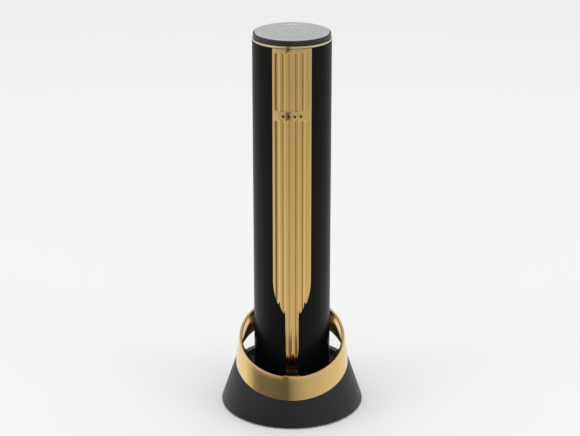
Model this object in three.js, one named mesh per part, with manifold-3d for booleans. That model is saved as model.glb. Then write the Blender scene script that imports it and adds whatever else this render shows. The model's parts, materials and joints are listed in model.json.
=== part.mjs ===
// Cordless electric wine opener standing in its round holder.
// Millimetres, +Z up. The origin is the middle of the holder's underside, and the front is -Y.
import * as THREE from "three";
import { ParametricGeometry } from "three/addons/geometries/ParametricGeometry.js";
import { mergeVertices } from "three/addons/utils/BufferGeometryUtils.js";
import Module from "manifold-3d";

const wasm = await Module();
wasm.setup();

// ---- how finely round shapes are cut ----
const OUTER = 44;             // sides of the shapes that show
const FINE = 28;              // sides of the shapes inside
const BAR_STEPS = 16;         // steps per turn of a helix

// ---- clearances ----
const GAP = 0.3;              // between two pieces that rest on each other
const RUN = 0.4;              // between two pieces that turn or slide on each other

// ---- opener: the bottle's neck sets its width ----
const NECK_BORE_R = 15.8;     // bore that the bottle's neck goes into
const SLEEVE_T = 2;
const CHASSIS_T = 0.9;
const TUBE_T = 2;
const SLEEVE_R = NECK_BORE_R + SLEEVE_T;
const CORE_R = SLEEVE_R + 2.6;            // everything that sits inside the chassis
const CHASSIS_IN_R = CORE_R + RUN;
const CHASSIS_OUT_R = CHASSIS_IN_R + CHASSIS_T;
const TUBE_IN_R = CHASSIS_OUT_R + GAP;
const BODY_R = TUBE_IN_R + TUBE_T;        // 24
const NECK_DEPTH = 46;        // from the mouth to the bottle stop
const STOP_T = 2;
const STOP_IN_R = NECK_BORE_R - 2.8;
const MOUTH_T = 2.7;
const MOUTH_SCREW_R = 0.9;
const MOUTH_HEAD_R = 1.7;

// ---- holder ----
const BASE_SPREAD = 21.3;     // from the opener's side to the foot of the cone
const BASE_R = BODY_R + BASE_SPREAD;
const CONE_SLOPE = 0.3377;    // radius lost per millimetre of height
const BASE_EDGE = 0.6;        // rounding of the cone's foot
const RIM_Z = 24.7;           // low rim at the back of the holder
const RIM_T = 3.64;           // wall at the low rim
const DISH_Z = 19;            // floor of the dish round the well
const SOCKET_Z = 15;          // height at which the opener's lower end stands
const WELL_ROOM = 0.8;        // round the opener's lower end
const PAD_T = 1.5;            // rubber pad in the well
const FLOOR_T = 2.4;          // walls and floors of the holder's moulding
const SHOULDER_START = 100;   // degrees from the front where the raised rim begins to fall
const SHOULDER_END = 125;     // degrees from the front where it has reached the low rim

// ---- holder's underside ----
const FOOT_H = 0.8;           // how far the rubber foot stands below the cover
const FOOT_T = 2;
const FOOT_W = 6.2;
const FOOT_INSET = 4.1;       // from the foot of the cone to the rubber
const FOOT_OUT_R = BASE_R - FOOT_INSET;
const FOOT_IN_R = FOOT_OUT_R - FOOT_W;
const COVER_T = 2.6;
const COVER_LIP = 1.4;        // cover outside the rubber
const WEIGHT_T = 4;
const SCREW_INSET = 4;        // from the rubber's inside to the cover screws
const SCREW_RING_R = FOOT_IN_R - SCREW_INSET;
const SCREW_R = 1.5;
const SCREW_HEAD_R = 3;
const BOSS_T = 1.8;

const coneR = (z) => BASE_R - CONE_SLOPE * (z - FOOT_H);
const WALL_IN_R = coneR(RIM_Z) - RIM_T;

// ---- tilted gold band ----
const BAND_T = 2;             // thickness
const BAND_PROUD = 0.5;       // how far it stands out of the cone
const BAND_FRONT_Z = 17.34;   // its lowest point, at the front
const BAND_LOW_TILT = 0.351;  // rise of the lower edge per millimetre towards the back
const BAND_TOP_TILT = 0.4;
const BAND_RISE = 17.64;      // height beside the opener's axis
const BAND_LEAN = 2.55;       // radius lost between its edges beside the opener's axis
const BAND_TOP_TAPER = 0.417; // radius lost per millimetre of height along the upper edge
const BAND_EDGE = 0.6;        // rounding of its upper edge
const BAND_SCREW_R = 0.8;
const BAND_SCREW_HEAD_R = 1.7;
const BAND_SCREW_Z = DISH_Z + 2.8;
const BAND_LOW_Z =            // height of its lower edge beside the opener's axis
  BAND_FRONT_Z * (1 - CONE_SLOPE * BAND_LOW_TILT) + BAND_LOW_TILT * (coneR(0) + BAND_PROUD);
const BAND_LOW_R = coneR(BAND_LOW_Z) + BAND_PROUD;

// ---- worm and its feed ----
const FEED = 45;              // travel of the worm into the cork
const LEAD = 9;               // travel per turn
const WORM_R = 3.2;           // radius of the wire's centre line
const WIRE_R = 1.3;
const WORM_SPARE = 4;         // wire above the cork when the worm is all the way in
const WORM_LEN = FEED + WORM_SPARE;
const TIP_CLEAR = 1.5;        // from the bottle stop to the worm's tip
const CARRIAGE_H = 11;
const PIN_R = 1.7;
const GROOVE_DEPTH = 1.5;
const PIN_REACH = 0.9;        // how far the guide pins stand into the groove
const DRIVE_IN_R = NECK_BORE_R - 3.1;
const DRIVE_T = 1.3;
const DRIVE_R = DRIVE_IN_R + DRIVE_T;
const BARREL_IN_R = DRIVE_R + RUN;
const BARREL_R = BARREL_IN_R + 2.6;
const SLOT_W = 2 * PIN_R + 1;

// ---- gear train: two equal planetary stages ----
const SUN_TEETH = 12;
const PLANET_TEETH = 15;
const RING_TEETH = SUN_TEETH + 2 * PLANET_TEETH;
const PLANETS = 3;
const GEAR_T = 6;
const RING_WALL = 2.6;
const MODULE = (CORE_R - RING_WALL) / (RING_TEETH / 2 + 1.25);
const ORBIT_R = MODULE * (SUN_TEETH + PLANET_TEETH) / 2;
const PRESSURE = THREE.MathUtils.degToRad(22);
const ADDENDUM = 0.8 * MODULE;
const DEDENDUM = 1.15 * MODULE;
const BACKLASH = 0.16;        // taken off each flank of a tooth
const AXLE_R = 1.5;
const PLATE_T = 2.6;

// ---- motor, battery and boards ----
const MOTOR_R = 12.2;
const MOTOR_LEN = 30.8;
const CAN_T = 0.9;
const ROTOR_R = 8;
const CELL_R = 7.1;
const CELL_LEN = 49;
const BOARD_T = 1.2;
const HOLDER_T = 1.2;         // plastic of the battery holder
const TOP_ROOM = 5.3;         // wiring room above the battery

// ---- cap ----
const TRIM_T = 1.4;
const DISC_R = BODY_R - 1.6;
const DISC_T = 1.6;
const CAP_R = BODY_R - 0.5;
const CAP_DROP = 0.6;         // from the disc's face down to the cap's edge
const SKIRT_T = 1.5;

// ---- fluted front panel ----
const FLUTES = 6;
const FLUTE_W = 3.52;
const FLUTE_DEPTH = 0.5;
const PANEL_HALF = 12.02;     // half width along the curve
const PANEL_PROUD = 0.2;
const PANEL_T = 1.1;
const STRIP_HALF = 4;
const STRAIGHT_Z = 74.8;      // where the straight sides end
const TIP_Z = [59.8, 53.9];   // ends of the outer and the second pair of flutes
const NOTCH_RISE = 2.2;
const LAMP_R = 0.95;          // holes for the four lamps
const LAMP_ABOVE_CELL = 12.5; // lamps above the battery's lower end
const PLAIN_BELOW = 2.2;      // plain band from the lamps down, and up
const PLAIN_ABOVE = 3.1;

// ---- heights up the opener, from its lower end ----
const FLANGE_Z = MOUTH_T + RUN;
const BARREL_Z = NECK_DEPTH + STOP_T + GAP;
const TIP_REST_Z = NECK_DEPTH + TIP_CLEAR;
const CARRIAGE_Z = TIP_REST_Z + WORM_LEN;
const NUT_Z = CARRIAGE_Z + CARRIAGE_H + GAP;
const NUT_T = 2.4;
const DRIVE_TOP_Z = NUT_Z + NUT_T + 2 * GAP;
const DRIVE_Z = CARRIAGE_Z - FEED - 1.5;
const PLATE_Z = DRIVE_TOP_Z + RUN;
const BARREL_TOP_Z = PLATE_Z - 1.4;
const WASHER_T = 0.8;
const GEAR_2_Z = PLATE_Z + PLATE_T + 0.6;
const CARRIER_Z = GEAR_2_Z + GEAR_T + 0.6;
const CARRIER_T = 2;
const GEAR_1_Z = CARRIER_Z + CARRIER_T + 0.6;
const RING_GEAR_Z = PLATE_Z + PLATE_T + 0.3;
const GEARBOX_TOP_Z = GEAR_1_Z + GEAR_T + 1.4;
const LID_T = 2.4;
const LID_Z = GEARBOX_TOP_Z + GAP;
const MOTOR_Z = LID_Z + LID_T + GAP;
const END_CAP_T = 2.2;
const HOLDER_Z = MOTOR_Z + MOTOR_LEN + GAP + END_CAP_T + GAP;
const CELL_Z = HOLDER_Z + HOLDER_T + GAP;
const HOLDER_TOP_Z = CELL_Z + CELL_LEN + GAP;
const TOUCH_BOARD_Z = HOLDER_TOP_Z + HOLDER_T + TOP_ROOM;
const DISC_Z = TOUCH_BOARD_Z + BOARD_T + GAP;
const BODY_LEN = DISC_Z + DISC_T;        // 228
const TRIM_Z = BODY_LEN - 5.1;
const TUBE_TOP_Z = TRIM_Z - GAP;
const CAP_Z = TRIM_Z + TRIM_T + GAP;
const SKIRT_Z = TUBE_TOP_Z - 5.6;
const CHASSIS_Z = FLANGE_Z + 2.4 + GAP;
const CHASSIS_TOP_Z = SKIRT_Z - RUN;
const LAMP_Z = CELL_Z + LAMP_ABOVE_CELL;

// ---- materials ----
const finish = (color, roughness, metalness) =>
  new THREE.MeshStandardMaterial({ color, roughness, metalness });
const BLACK = finish(0x1d1d1e, 0.42, 0);
const GOLD = finish(0xc9a05c, 0.2, 1);
const GLASS = finish(0xb9bbbc, 0.12, 0);
const STEEL = finish(0xa9acb0, 0.3, 1);
const BRASS = finish(0xb08d4c, 0.35, 1);
const NYLON = finish(0xdedbd0, 0.55, 0);
const RUBBER = finish(0x161616, 0.85, 0);
const PLASTIC = finish(0x3a3d40, 0.6, 0);
const BOARD = finish(0x1f5a35, 0.5, 0);
const WRAP = finish(0x2a6aa0, 0.4, 0);
const CLEAR = finish(0xe8eef2, 0.15, 0);

// ---- from a three.js geometry to a solid, and back ----

// A closed solid from a geometry: shared vertices merged, empty triangles dropped, faces pointing out.
function solid(geometry) {
  geometry.deleteAttribute("normal");
  geometry.deleteAttribute("uv");
  const merged = mergeVertices(geometry, 1e-4);
  const place = merged.getAttribute("position").array;
  const corners = [];
  for (let i = 0; i < merged.index.count; i += 3) {
    const [a, b, c] = merged.index.array.slice(i, i + 3);
    if (a !== b && b !== c && c !== a) corners.push(a, b, c);
  }
  const point = (i) => new THREE.Vector3().fromArray(place, 3 * i);
  let volume = 0;
  for (let i = 0; i < corners.length; i += 3) {
    const [a, b, c] = [point(corners[i]), point(corners[i + 1]), point(corners[i + 2])];
    volume += a.dot(b.cross(c));
  }
  if (volume < 0) corners.reverse();
  const mesh = new wasm.Mesh({
    numProp: 3,
    vertProperties: new Float32Array(place),
    triVerts: new Uint32Array(corners),
  });
  mesh.merge();
  return new wasm.Manifold(mesh);
}

// A named mesh from a solid.
function piece(name, body, material) {
  const { vertProperties, triVerts } = body.getMesh();
  const geometry = new THREE.BufferGeometry();
  geometry.setAttribute("position", new THREE.BufferAttribute(vertProperties, 3));
  geometry.setIndex(new THREE.BufferAttribute(triVerts, 1));
  const mesh = new THREE.Mesh(geometry, material);
  mesh.name = name;
  return mesh;
}

const join = (...bodies) => bodies.reduce((sum, body) => sum.add(body));
const cut = (body, ...tools) => tools.reduce((left, tool) => left.subtract(tool), body);

// A turned solid about Z from an outline of [radius, height] points that starts and ends on the axis.
function turned(outline, sides = FINE) {
  const points = outline.map(([r, z]) => new THREE.Vector2(r, z));
  return solid(new THREE.LatheGeometry(points, sides).rotateX(Math.PI / 2));
}

// A turned ring from an outline that goes all the way round its section.
const turnedRing = (outline, sides = FINE) => turned([...outline, outline[0]], sides);

const disc = (r, z, height, sides = FINE) =>
  turned([[0, z], [r, z], [r, z + height], [0, z + height]], sides);

const ring = (inner, outer, z, height, sides = FINE) =>
  turnedRing([[inner, z], [outer, z], [outer, z + height], [inner, z + height]], sides);

const rod = (r, x, y, z, height, sides = 10) => disc(r, z, height, sides).translate([x, y, 0]);

// A box from its lowest to its highest corner.
function block(low, high) {
  const size = high.map((value, i) => value - low[i]);
  const middle = high.map((value, i) => (value + low[i]) / 2);
  return solid(new THREE.BoxGeometry(...size).translate(...middle));
}

// A flat outline of [x, y] points drawn up from z by height.
function drawn(outline, z, height) {
  const shape = new THREE.Shape(outline.map(([x, y]) => new THREE.Vector2(x, y)));
  const geometry = new THREE.ExtrudeGeometry(shape, { depth: height, bevelEnabled: false, steps: 1 });
  return solid(geometry.translate(0, 0, z));
}

// A ring or a bowl whose section changes with the direction: outlineAt(angle) gives its
// [radius, height] points, and the angle runs from the front, -Y, towards +X.
function shapedRing(outlineAt, sides) {
  const count = outlineAt(0).length;
  const place = (u, v, target) => {
    const angle = 2 * Math.PI * (Math.round(v * sides) % sides) / sides;
    const [r, z] = outlineAt(angle)[Math.round(u * count) % count];
    target.set(r * Math.sin(angle), -r * Math.cos(angle), z);
  };
  return solid(new ParametricGeometry(place, count, sides));
}

// A round or square bar along a path: at(t) gives its centre, the unit directions of its section
// and the section's half sizes there.
function bar(at, steps, sides) {
  const place = (u, v, target) => {
    const { centre, out, up, half } = at(v);
    const angle = 2 * Math.PI * (Math.round(u * sides) % sides) / sides;
    target.copy(centre);
    target.addScaledVector(out, half[0] * Math.cos(angle));
    target.addScaledVector(up, half[1] * Math.sin(angle));
  };
  return solid(new ParametricGeometry(place, sides, steps));
}

const turnsOf = (count, start = 0) =>
  Array.from({ length: count }, (_, i) => start + 2 * Math.PI * i / count);
const polar = (r, angle) => [r * Math.cos(angle), r * Math.sin(angle)];

// A screw with its head down, standing at x, y: the head's underside is at z.
function screw(shaftR, headR, z, headT, length, x, y) {
  return turned([
    [0, z], [headR, z], [headR, z + headT], [shaftR, z + headT], [shaftR, z + length], [0, z + length],
  ], 12).translate([x, y, 0]);
}

// ---- holder ----

// One edge of the band: a slanted circle that lies on a cone.
function bandEdge(angle, radius, taper, tilt, z) {
  const r = radius / (1 - taper * tilt * Math.cos(angle));
  return [r, z - tilt * r * Math.cos(angle)];
}

const bandLow = (angle) => bandEdge(angle, BAND_LOW_R, CONE_SLOPE, BAND_LOW_TILT, BAND_LOW_Z);
const bandTop = (angle) =>
  bandEdge(angle, BAND_LOW_R - BAND_LEAN, BAND_TOP_TAPER, BAND_TOP_TILT, BAND_LOW_Z + BAND_RISE);

// The band, or with a margin the room that it needs.
function band(margin = 0) {
  return shapedRing((angle) => {
    const [lowR, lowZ] = bandLow(angle);
    const [topR, topZ] = bandTop(angle);
    const inner = BAND_T + margin;
    return [
      [lowR + margin, lowZ - margin],
      [topR + margin, topZ - BAND_EDGE],
      [topR + margin - BAND_EDGE, topZ + margin],
      [topR - inner + BAND_EDGE, topZ + margin],
      [topR - inner, topZ - BAND_EDGE],
      [lowR - inner, lowZ - margin],
    ];
  }, OUTER);
}

// Height of the holder's rim: it follows the band's lower edge and drops to the low rim at the back.
function rimZ(angle) {
  const fromFront = THREE.MathUtils.radToDeg(Math.abs(angle > Math.PI ? angle - 2 * Math.PI : angle));
  const raised = Math.max(RIM_Z, bandLow(angle)[1] - GAP);
  const fall = THREE.MathUtils.smoothstep(fromFront, SHOULDER_START, SHOULDER_END);
  return THREE.MathUtils.lerp(raised, RIM_Z, fall);
}

const COVER_Z = FOOT_H;
const CAVITY_Z = COVER_Z + COVER_T + GAP;
const WELL_R = BODY_R + WELL_ROOM;
const WELL_Z = SOCKET_Z - GAP - PAD_T - GAP;
const COVER_R = FOOT_OUT_R + COVER_LIP;
const coverScrews = turnsOf(3, Math.PI / 2).map((angle) => polar(SCREW_RING_R, angle));

function baseShell() {
  const under = WELL_Z - FLOOR_T;
  const ceiling = DISH_Z - FLOOR_T;
  const shell = shapedRing((angle) => {
    const top = rimZ(angle);
    return [
      [0, under],
      [WELL_R + FLOOR_T, under],
      [WELL_R + FLOOR_T, ceiling],
      [WALL_IN_R, ceiling],
      [COVER_R - 1, CAVITY_Z],
      [COVER_R + GAP, CAVITY_Z],
      [COVER_R + GAP, COVER_Z],
      [BASE_R - BASE_EDGE, COVER_Z],
      [coneR(COVER_Z + BASE_EDGE), COVER_Z + BASE_EDGE],
      [coneR(top), top],
      [WALL_IN_R, top],
      [WALL_IN_R, DISH_Z],
      [WELL_R + 1, DISH_Z],
      [WELL_R, DISH_Z - 1],
      [WELL_R, WELL_Z],
      [0, WELL_Z],
    ];
  }, OUTER);
  const bossZ = CAVITY_Z + WEIGHT_T + 2 * GAP;
  const bosses = coverScrews.map(([x, y]) => rod(SCREW_R + BOSS_T, x, y, bossZ, ceiling - bossZ + 1));
  const holes = coverScrews.map(([x, y]) => rod(SCREW_R + GAP, x, y, CAVITY_Z, ceiling - CAVITY_Z + 0.8));
  const dowels = bandScrewAngles.map((angle) => bandScrew(angle, GAP));
  return cut(join(shell, ...bosses), ...holes, ...dowels, band(GAP));
}

const bandScrewAngles = [-30, 0, 30].map(THREE.MathUtils.degToRad);

// A short screw from the dish through the rim wall into the back of the band.
function bandScrew(angle, margin = 0) {
  const [lowR, lowZ] = bandLow(angle);
  const reach = lowR - CONE_SLOPE * (BAND_SCREW_Z - lowZ) - BAND_T / 2;
  const head = WALL_IN_R - 1;
  const shank = rod(BAND_SCREW_R + margin, 0, 0, head, reach - head + margin);
  const cap = rod(BAND_SCREW_HEAD_R + margin, 0, 0, head - margin, 1.3 + 2 * margin);
  const turn = THREE.MathUtils.radToDeg(angle);
  return join(shank, cap).rotate([90, 0, 0]).rotate([0, 0, turn]).translate([0, 0, BAND_SCREW_Z]);
}

function tiltBand() {
  return cut(band(), ...bandScrewAngles.map((angle) => bandScrew(angle, GAP)));
}

function bottomCover() {
  const low = COVER_Z;
  const body = turned([
    [0, low], [FOOT_IN_R - GAP, low], [FOOT_IN_R - GAP, FOOT_T + GAP], [FOOT_OUT_R + GAP, FOOT_T + GAP],
    [FOOT_OUT_R + GAP, low], [COVER_R, low], [COVER_R, low + COVER_T], [0, low + COVER_T],
  ], FINE);
  const holes = coverScrews.map(([x, y]) =>
    join(rod(SCREW_R + GAP, x, y, 0, low + COVER_T + 1), rod(SCREW_HEAD_R + GAP, x, y, 0, low + 1.5)));
  return cut(body, ...holes);
}

function baseWeight() {
  const body = disc(SCREW_RING_R + 7, CAVITY_Z + GAP, WEIGHT_T);
  const holes = coverScrews.map(([x, y]) => rod(SCREW_R + RUN, x, y, CAVITY_Z, WEIGHT_T + 1));
  return cut(body, ...holes);
}

function holder() {
  const group = new THREE.Group();
  group.add(piece("base_shell", baseShell(), BLACK));
  group.add(piece("tilt_band", tiltBand(), GOLD));
  bandScrewAngles.forEach((angle, i) => group.add(piece(`band_screw_${i + 1}`, bandScrew(angle), STEEL)));
  group.add(piece("socket_pad", disc(WELL_R - GAP, WELL_Z + GAP, PAD_T), RUBBER));
  group.add(piece("base_weight", baseWeight(), STEEL));
  group.add(piece("bottom_cover", bottomCover(), PLASTIC));
  group.add(piece("foot_ring", ring(FOOT_IN_R, FOOT_OUT_R, 0, FOOT_T, FINE), RUBBER));
  coverScrews.forEach(([x, y], i) => {
    const body = screw(SCREW_R, SCREW_HEAD_R, COVER_Z + GAP, 0.9, DISH_Z - FLOOR_T - COVER_Z - 0.4, x, y);
    group.add(piece(`cover_screw_${i + 1}`, body, STEEL));
  });
  return group;
}

// ---- opener: shells ----

// x of a point that lies along the curved front, at an arc length from the middle.
const frontX = (arc, r = BODY_R) => r * Math.sin(arc / BODY_R);

// Half outline of the panel as [arc, height] points from its top down to the strip's lower end.
// With a margin it is the pocket's outline, which runs straight past the notches between the tips.
function panelEdge(margin, topZ, bottomZ) {
  const side = PANEL_HALF + margin;
  const edge = [[side, topZ], [side, STRAIGHT_Z]];
  const tipArc = 2.5 * FLUTE_W;
  for (let i = 1; i <= 4; i += 1) {
    const t = i / 4;
    const arc = THREE.MathUtils.lerp(PANEL_HALF, tipArc, t * (0.35 + 0.65 * t));
    edge.push([arc + margin, THREE.MathUtils.lerp(STRAIGHT_Z, TIP_Z[0] - margin, t)]);
  }
  if (!margin) {
    edge.push([2.2 * FLUTE_W, TIP_Z[0] + NOTCH_RISE]);
    edge.push([2.1 * FLUTE_W, TIP_Z[0] - 1.4]);
  }
  edge.push([1.5 * FLUTE_W + margin, TIP_Z[1] - margin]);
  if (!margin) edge.push([1.28 * FLUTE_W, TIP_Z[1] + NOTCH_RISE]);
  edge.push([STRIP_HALF + margin, TIP_Z[1] - 3 - margin]);
  edge.push([STRIP_HALF + margin, bottomZ]);
  return edge;
}

// A prism with the panel's outline that reaches from the axis out through the front.
function panelPrism(margin, topZ, bottomZ) {
  const half = panelEdge(margin, topZ, bottomZ).map(([arc, z]) => [frontX(arc), z]);
  const left = half.map(([x, z]) => [-x, z]).reverse();
  return drawn([...half, ...left], 0, BODY_R + 2).rotate([90, 0, 0]);
}

// Section of the panel seen from above: fluted outside, plain inside.
function panelSection(fluted) {
  const land = BODY_R + PANEL_PROUD;
  const back = land - PANEL_T;
  const steps = FLUTES * 4;
  const reach = FLUTES / 2 * FLUTE_W;
  const outer = [[-PANEL_HALF - 1, land]];
  for (let i = 0; i <= steps; i += 1) {
    const arc = THREE.MathUtils.lerp(-reach, reach, i / steps);
    const across = (i % 4) / 4 * 2 - 1;
    const depth = fluted && i % 4 ? FLUTE_DEPTH * (1 - across * across) : 0;
    outer.push([arc, land - depth]);
  }
  outer.push([PANEL_HALF + 1, land]);
  const inner = [];
  for (let i = 8; i >= 0; i -= 1) {
    inner.push([THREE.MathUtils.lerp(-PANEL_HALF - 1, PANEL_HALF + 1, i / 8), back]);
  }
  return [...outer, ...inner].map(([arc, r]) => [r * Math.sin(arc / BODY_R), -r * Math.cos(arc / BODY_R)]);
}

const PANEL_TOP_Z = TUBE_TOP_Z - GAP;
const PANEL_LOW_Z = FLANGE_Z + 4;
const lampArcs = [-1.5, -0.5, 0.5, 1.5].map((step) => step * FLUTE_W);

// Round pegs that point out through the front at the four lamps.
function lampPegs(r, inner, outer) {
  return lampArcs.map((arc) => {
    const turn = THREE.MathUtils.radToDeg(arc / BODY_R);
    const peg = rod(r, 0, 0, inner, outer - inner).rotate([90, 0, 0]);
    return peg.rotate([0, 0, turn]).translate([0, 0, LAMP_Z]);
  });
}

function frontPanel() {
  const flutes = drawn(panelSection(true), PANEL_LOW_Z, PANEL_TOP_Z - 1 - PANEL_LOW_Z);
  const top = drawn(panelSection(false), PANEL_TOP_Z - 1.1, 1.1);
  const plain = drawn(panelSection(false), LAMP_Z - PLAIN_BELOW, PLAIN_BELOW + PLAIN_ABOVE);
  const body = join(flutes, top, plain).intersect(panelPrism(0, PANEL_TOP_Z, PANEL_LOW_Z));
  return cut(body, ...lampPegs(LAMP_R, BODY_R - 4, BODY_R + 2));
}

const PORT_Z = CELL_Z + 36;   // height of the charging socket
const PORT = { width: 9.2, height: 3.4, depth: 6.4 };

function bodyTube() {
  const tube = ring(TUBE_IN_R, BODY_R, MOUTH_T + GAP, TUBE_TOP_Z - MOUTH_T - GAP, OUTER);
  const pocket = panelPrism(GAP, TUBE_TOP_Z + 1, PANEL_LOW_Z - GAP);
  const floor = disc(BODY_R + PANEL_PROUD - PANEL_T - GAP, 0, BODY_LEN, OUTER);
  const halfPort = PORT.width / 2 + GAP;
  const port = block(
    [-halfPort, BODY_R - 4, PORT_Z - PORT.height / 2 - GAP],
    [halfPort, BODY_R + 1, PORT_Z + PORT.height / 2 + GAP]);
  return cut(tube, pocket.subtract(floor), lampWindow(), port);
}

// Window for the light guide through the tube and the chassis.
function lampWindow(margin = 0) {
  const half = 1.5 * FLUTE_W + 1.6 + margin;
  const tall = 1.7 + margin;
  return block([-half, -BODY_R - 1, LAMP_Z - tall], [half, -CHASSIS_IN_R + 3.2, LAMP_Z + tall]);
}

function chassisHalf(side) {
  const tube = ring(CHASSIS_IN_R, CHASSIS_OUT_R, CHASSIS_Z, CHASSIS_TOP_Z - CHASSIS_Z, FINE);
  const away = block([-BODY_R - 1, -BODY_R - 1, 0], [GAP / 2, BODY_R + 1, BODY_LEN]);
  const windows = [BARREL_Z + 8, MOTOR_Z + 5].map((z) =>
    block([BODY_R / 2, -BODY_R / 3, z], [BODY_R, BODY_R / 3, z + 20]));
  const port = block(
    [-PORT.width, BODY_R / 2, PORT_Z - PORT.height], [PORT.width, BODY_R, PORT_Z + PORT.height]);
  const half = cut(tube, away, lampWindow(GAP), port, ...windows);
  return side > 0 ? half : half.mirror([1, 0, 0]);
}

const mouthScrews = turnsOf(3).map((angle) => polar(CHASSIS_OUT_R - MOUTH_HEAD_R - 0.1, angle));

function neckGuide() {
  const low = FLANGE_Z;
  const sleeve = turnedRing([
    [NECK_BORE_R + 1.4, low], [CHASSIS_OUT_R, low], [CHASSIS_OUT_R, low + 2.4], [SLEEVE_R, low + 2.4],
    [SLEEVE_R, NECK_DEPTH - 1], [CORE_R, NECK_DEPTH - 1], [CORE_R, NECK_DEPTH + STOP_T],
    [STOP_IN_R, NECK_DEPTH + STOP_T], [STOP_IN_R, NECK_DEPTH], [NECK_BORE_R, NECK_DEPTH],
    [NECK_BORE_R, low + 6],
  ]);
  const holes = mouthScrews.map(([x, y]) => rod(MOUTH_SCREW_R + GAP, x, y, low - 1, 6));
  return cut(sleeve, ...holes);
}

function mouthRing() {
  const inner = NECK_BORE_R + 1.6;
  const body = turnedRing([
    [inner + 0.8, 0], [BODY_R - 0.8, 0], [BODY_R, 0.8], [BODY_R, MOUTH_T], [inner, MOUTH_T], [inner, 0.8],
  ], FINE);
  const holes = mouthScrews.map(([x, y]) =>
    join(rod(MOUTH_SCREW_R + GAP, x, y, -1, MOUTH_T + 2), rod(MOUTH_HEAD_R + GAP, x, y, -1, 2.6)));
  return cut(body, ...holes);
}

function capRing() {
  const top = BODY_LEN - CAP_DROP;
  const skirt = CHASSIS_OUT_R;
  return turnedRing([
    [skirt - SKIRT_T, SKIRT_Z], [skirt, SKIRT_Z], [skirt, CAP_Z], [CAP_R, CAP_Z], [CAP_R, top - 0.6],
    [CAP_R - 0.4, top], [DISC_R + GAP, top], [DISC_R + GAP, DISC_Z - GAP], [skirt - SKIRT_T, DISC_Z - GAP],
  ], OUTER);
}

function touchDisc() {
  return turned([
    [0, DISC_Z], [DISC_R, DISC_Z], [DISC_R, BODY_LEN - 0.4], [DISC_R - 0.4, BODY_LEN], [0, BODY_LEN],
  ], OUTER);
}

function shells() {
  const group = new THREE.Group();
  group.add(piece("body_tube", bodyTube(), BLACK));
  group.add(piece("front_panel", frontPanel(), GOLD));
  group.add(piece("trim_ring", ring(CHASSIS_OUT_R + GAP, BODY_R, TRIM_Z, TRIM_T, OUTER), GOLD));
  group.add(piece("cap_ring", capRing(), BLACK));
  group.add(piece("touch_disc", touchDisc(), GLASS));
  group.add(piece("chassis_right", chassisHalf(1), PLASTIC));
  group.add(piece("chassis_left", chassisHalf(-1), PLASTIC));
  group.add(piece("neck_guide", neckGuide(), PLASTIC));
  group.add(piece("mouth_ring", mouthRing(), BLACK));
  mouthScrews.forEach(([x, y], i) => {
    const body = screw(MOUTH_SCREW_R, MOUTH_HEAD_R, 0.4, 1, FLANGE_Z + 1.7, x, y);
    group.add(piece(`mouth_screw_${i + 1}`, body, STEEL));
  });
  return group;
}

// ---- opener: boards, battery and motor ----

const BOARD_Y = -CHASSIS_IN_R + 4;
const CELL_Y = 2;

function controlBoard() {
  const body = block([-8, BOARD_Y, CELL_Z], [8, BOARD_Y + BOARD_T, CELL_Z + 44]);
  const chips = [[-5, 8, 5, 5], [1, 22, 5, 4], [-5, 32, 3, 6]].map(([x, z, wide, tall]) =>
    block([x, BOARD_Y + 0.6, CELL_Z + z], [x + wide, BOARD_Y + BOARD_T + 1, CELL_Z + z + tall]));
  return join(body, ...chips);
}

function lightGuide() {
  const half = 1.5 * FLUTE_W + 1.2;
  const bar = block([-half, BOARD_Y - 1.6, LAMP_Z - 1.2], [half, BOARD_Y - GAP, LAMP_Z + 1.2]);
  const reach = BODY_R + PANEL_PROUD - FLUTE_DEPTH;
  return join(bar, ...lampPegs(LAMP_R - GAP, -BOARD_Y + 0.6, reach));
}

function batteryHolder() {
  const wide = 2 * CELL_R;
  const deep = CELL_Y + CELL_R + GAP;
  const top = HOLDER_TOP_Z;
  const back = block([-wide, deep, HOLDER_Z], [wide, deep + HOLDER_T, top + HOLDER_T]);
  const cheeks = [HOLDER_Z, top].map((z) =>
    block([-wide, CELL_Y - CELL_R + 1, z], [wide, deep + 0.2, z + HOLDER_T]));
  return join(back, ...cheeks);
}

function batteryCell(side) {
  const z = CELL_Z;
  const top = CELL_Z + CELL_LEN;
  return turned([
    [0, z], [CELL_R, z], [CELL_R, top - 1], [3, top - 1], [3, top], [0, top],
  ], 32).translate([side * (CELL_R + GAP / 2), CELL_Y, 0]);
}

function chargePort() {
  const { width, height, depth } = PORT;
  const face = Math.sqrt(BODY_R ** 2 - (width / 2) ** 2) - 0.4;
  const low = PORT_Z - height / 2;
  const shell = block([-width / 2, face - depth, low], [width / 2, face, low + height]);
  const mouth = block(
    [-width / 2 + 0.5, face - depth + 1, low + 0.5], [width / 2 - 0.5, face + 1, low + height - 0.5]);
  const tongue = block([-3, face - depth + 0.5, PORT_Z - 0.35], [3, face - 1.2, PORT_Z + 0.35]);
  return join(cut(shell, mouth), tongue);
}

const MOTOR_SCREW_R = 1.1;
const MOTOR_HEAD_R = 1.9;
const motorScrews = turnsOf(2).map((angle) => polar(7, angle));

function motorCan() {
  const body = turned([
    [0, MOTOR_Z], [MOTOR_R, MOTOR_Z], [MOTOR_R, MOTOR_Z + MOTOR_LEN], [MOTOR_R - CAN_T, MOTOR_Z + MOTOR_LEN],
    [MOTOR_R - CAN_T, MOTOR_Z + 2], [0, MOTOR_Z + 2],
  ]);
  const holes = motorScrews.map(([x, y]) => rod(MOTOR_SCREW_R + GAP, x, y, MOTOR_Z - 1, 4));
  return cut(body, rod(AXLE_R + 0.6, 0, 0, MOTOR_Z - 1, 4), ...holes);
}

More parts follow.
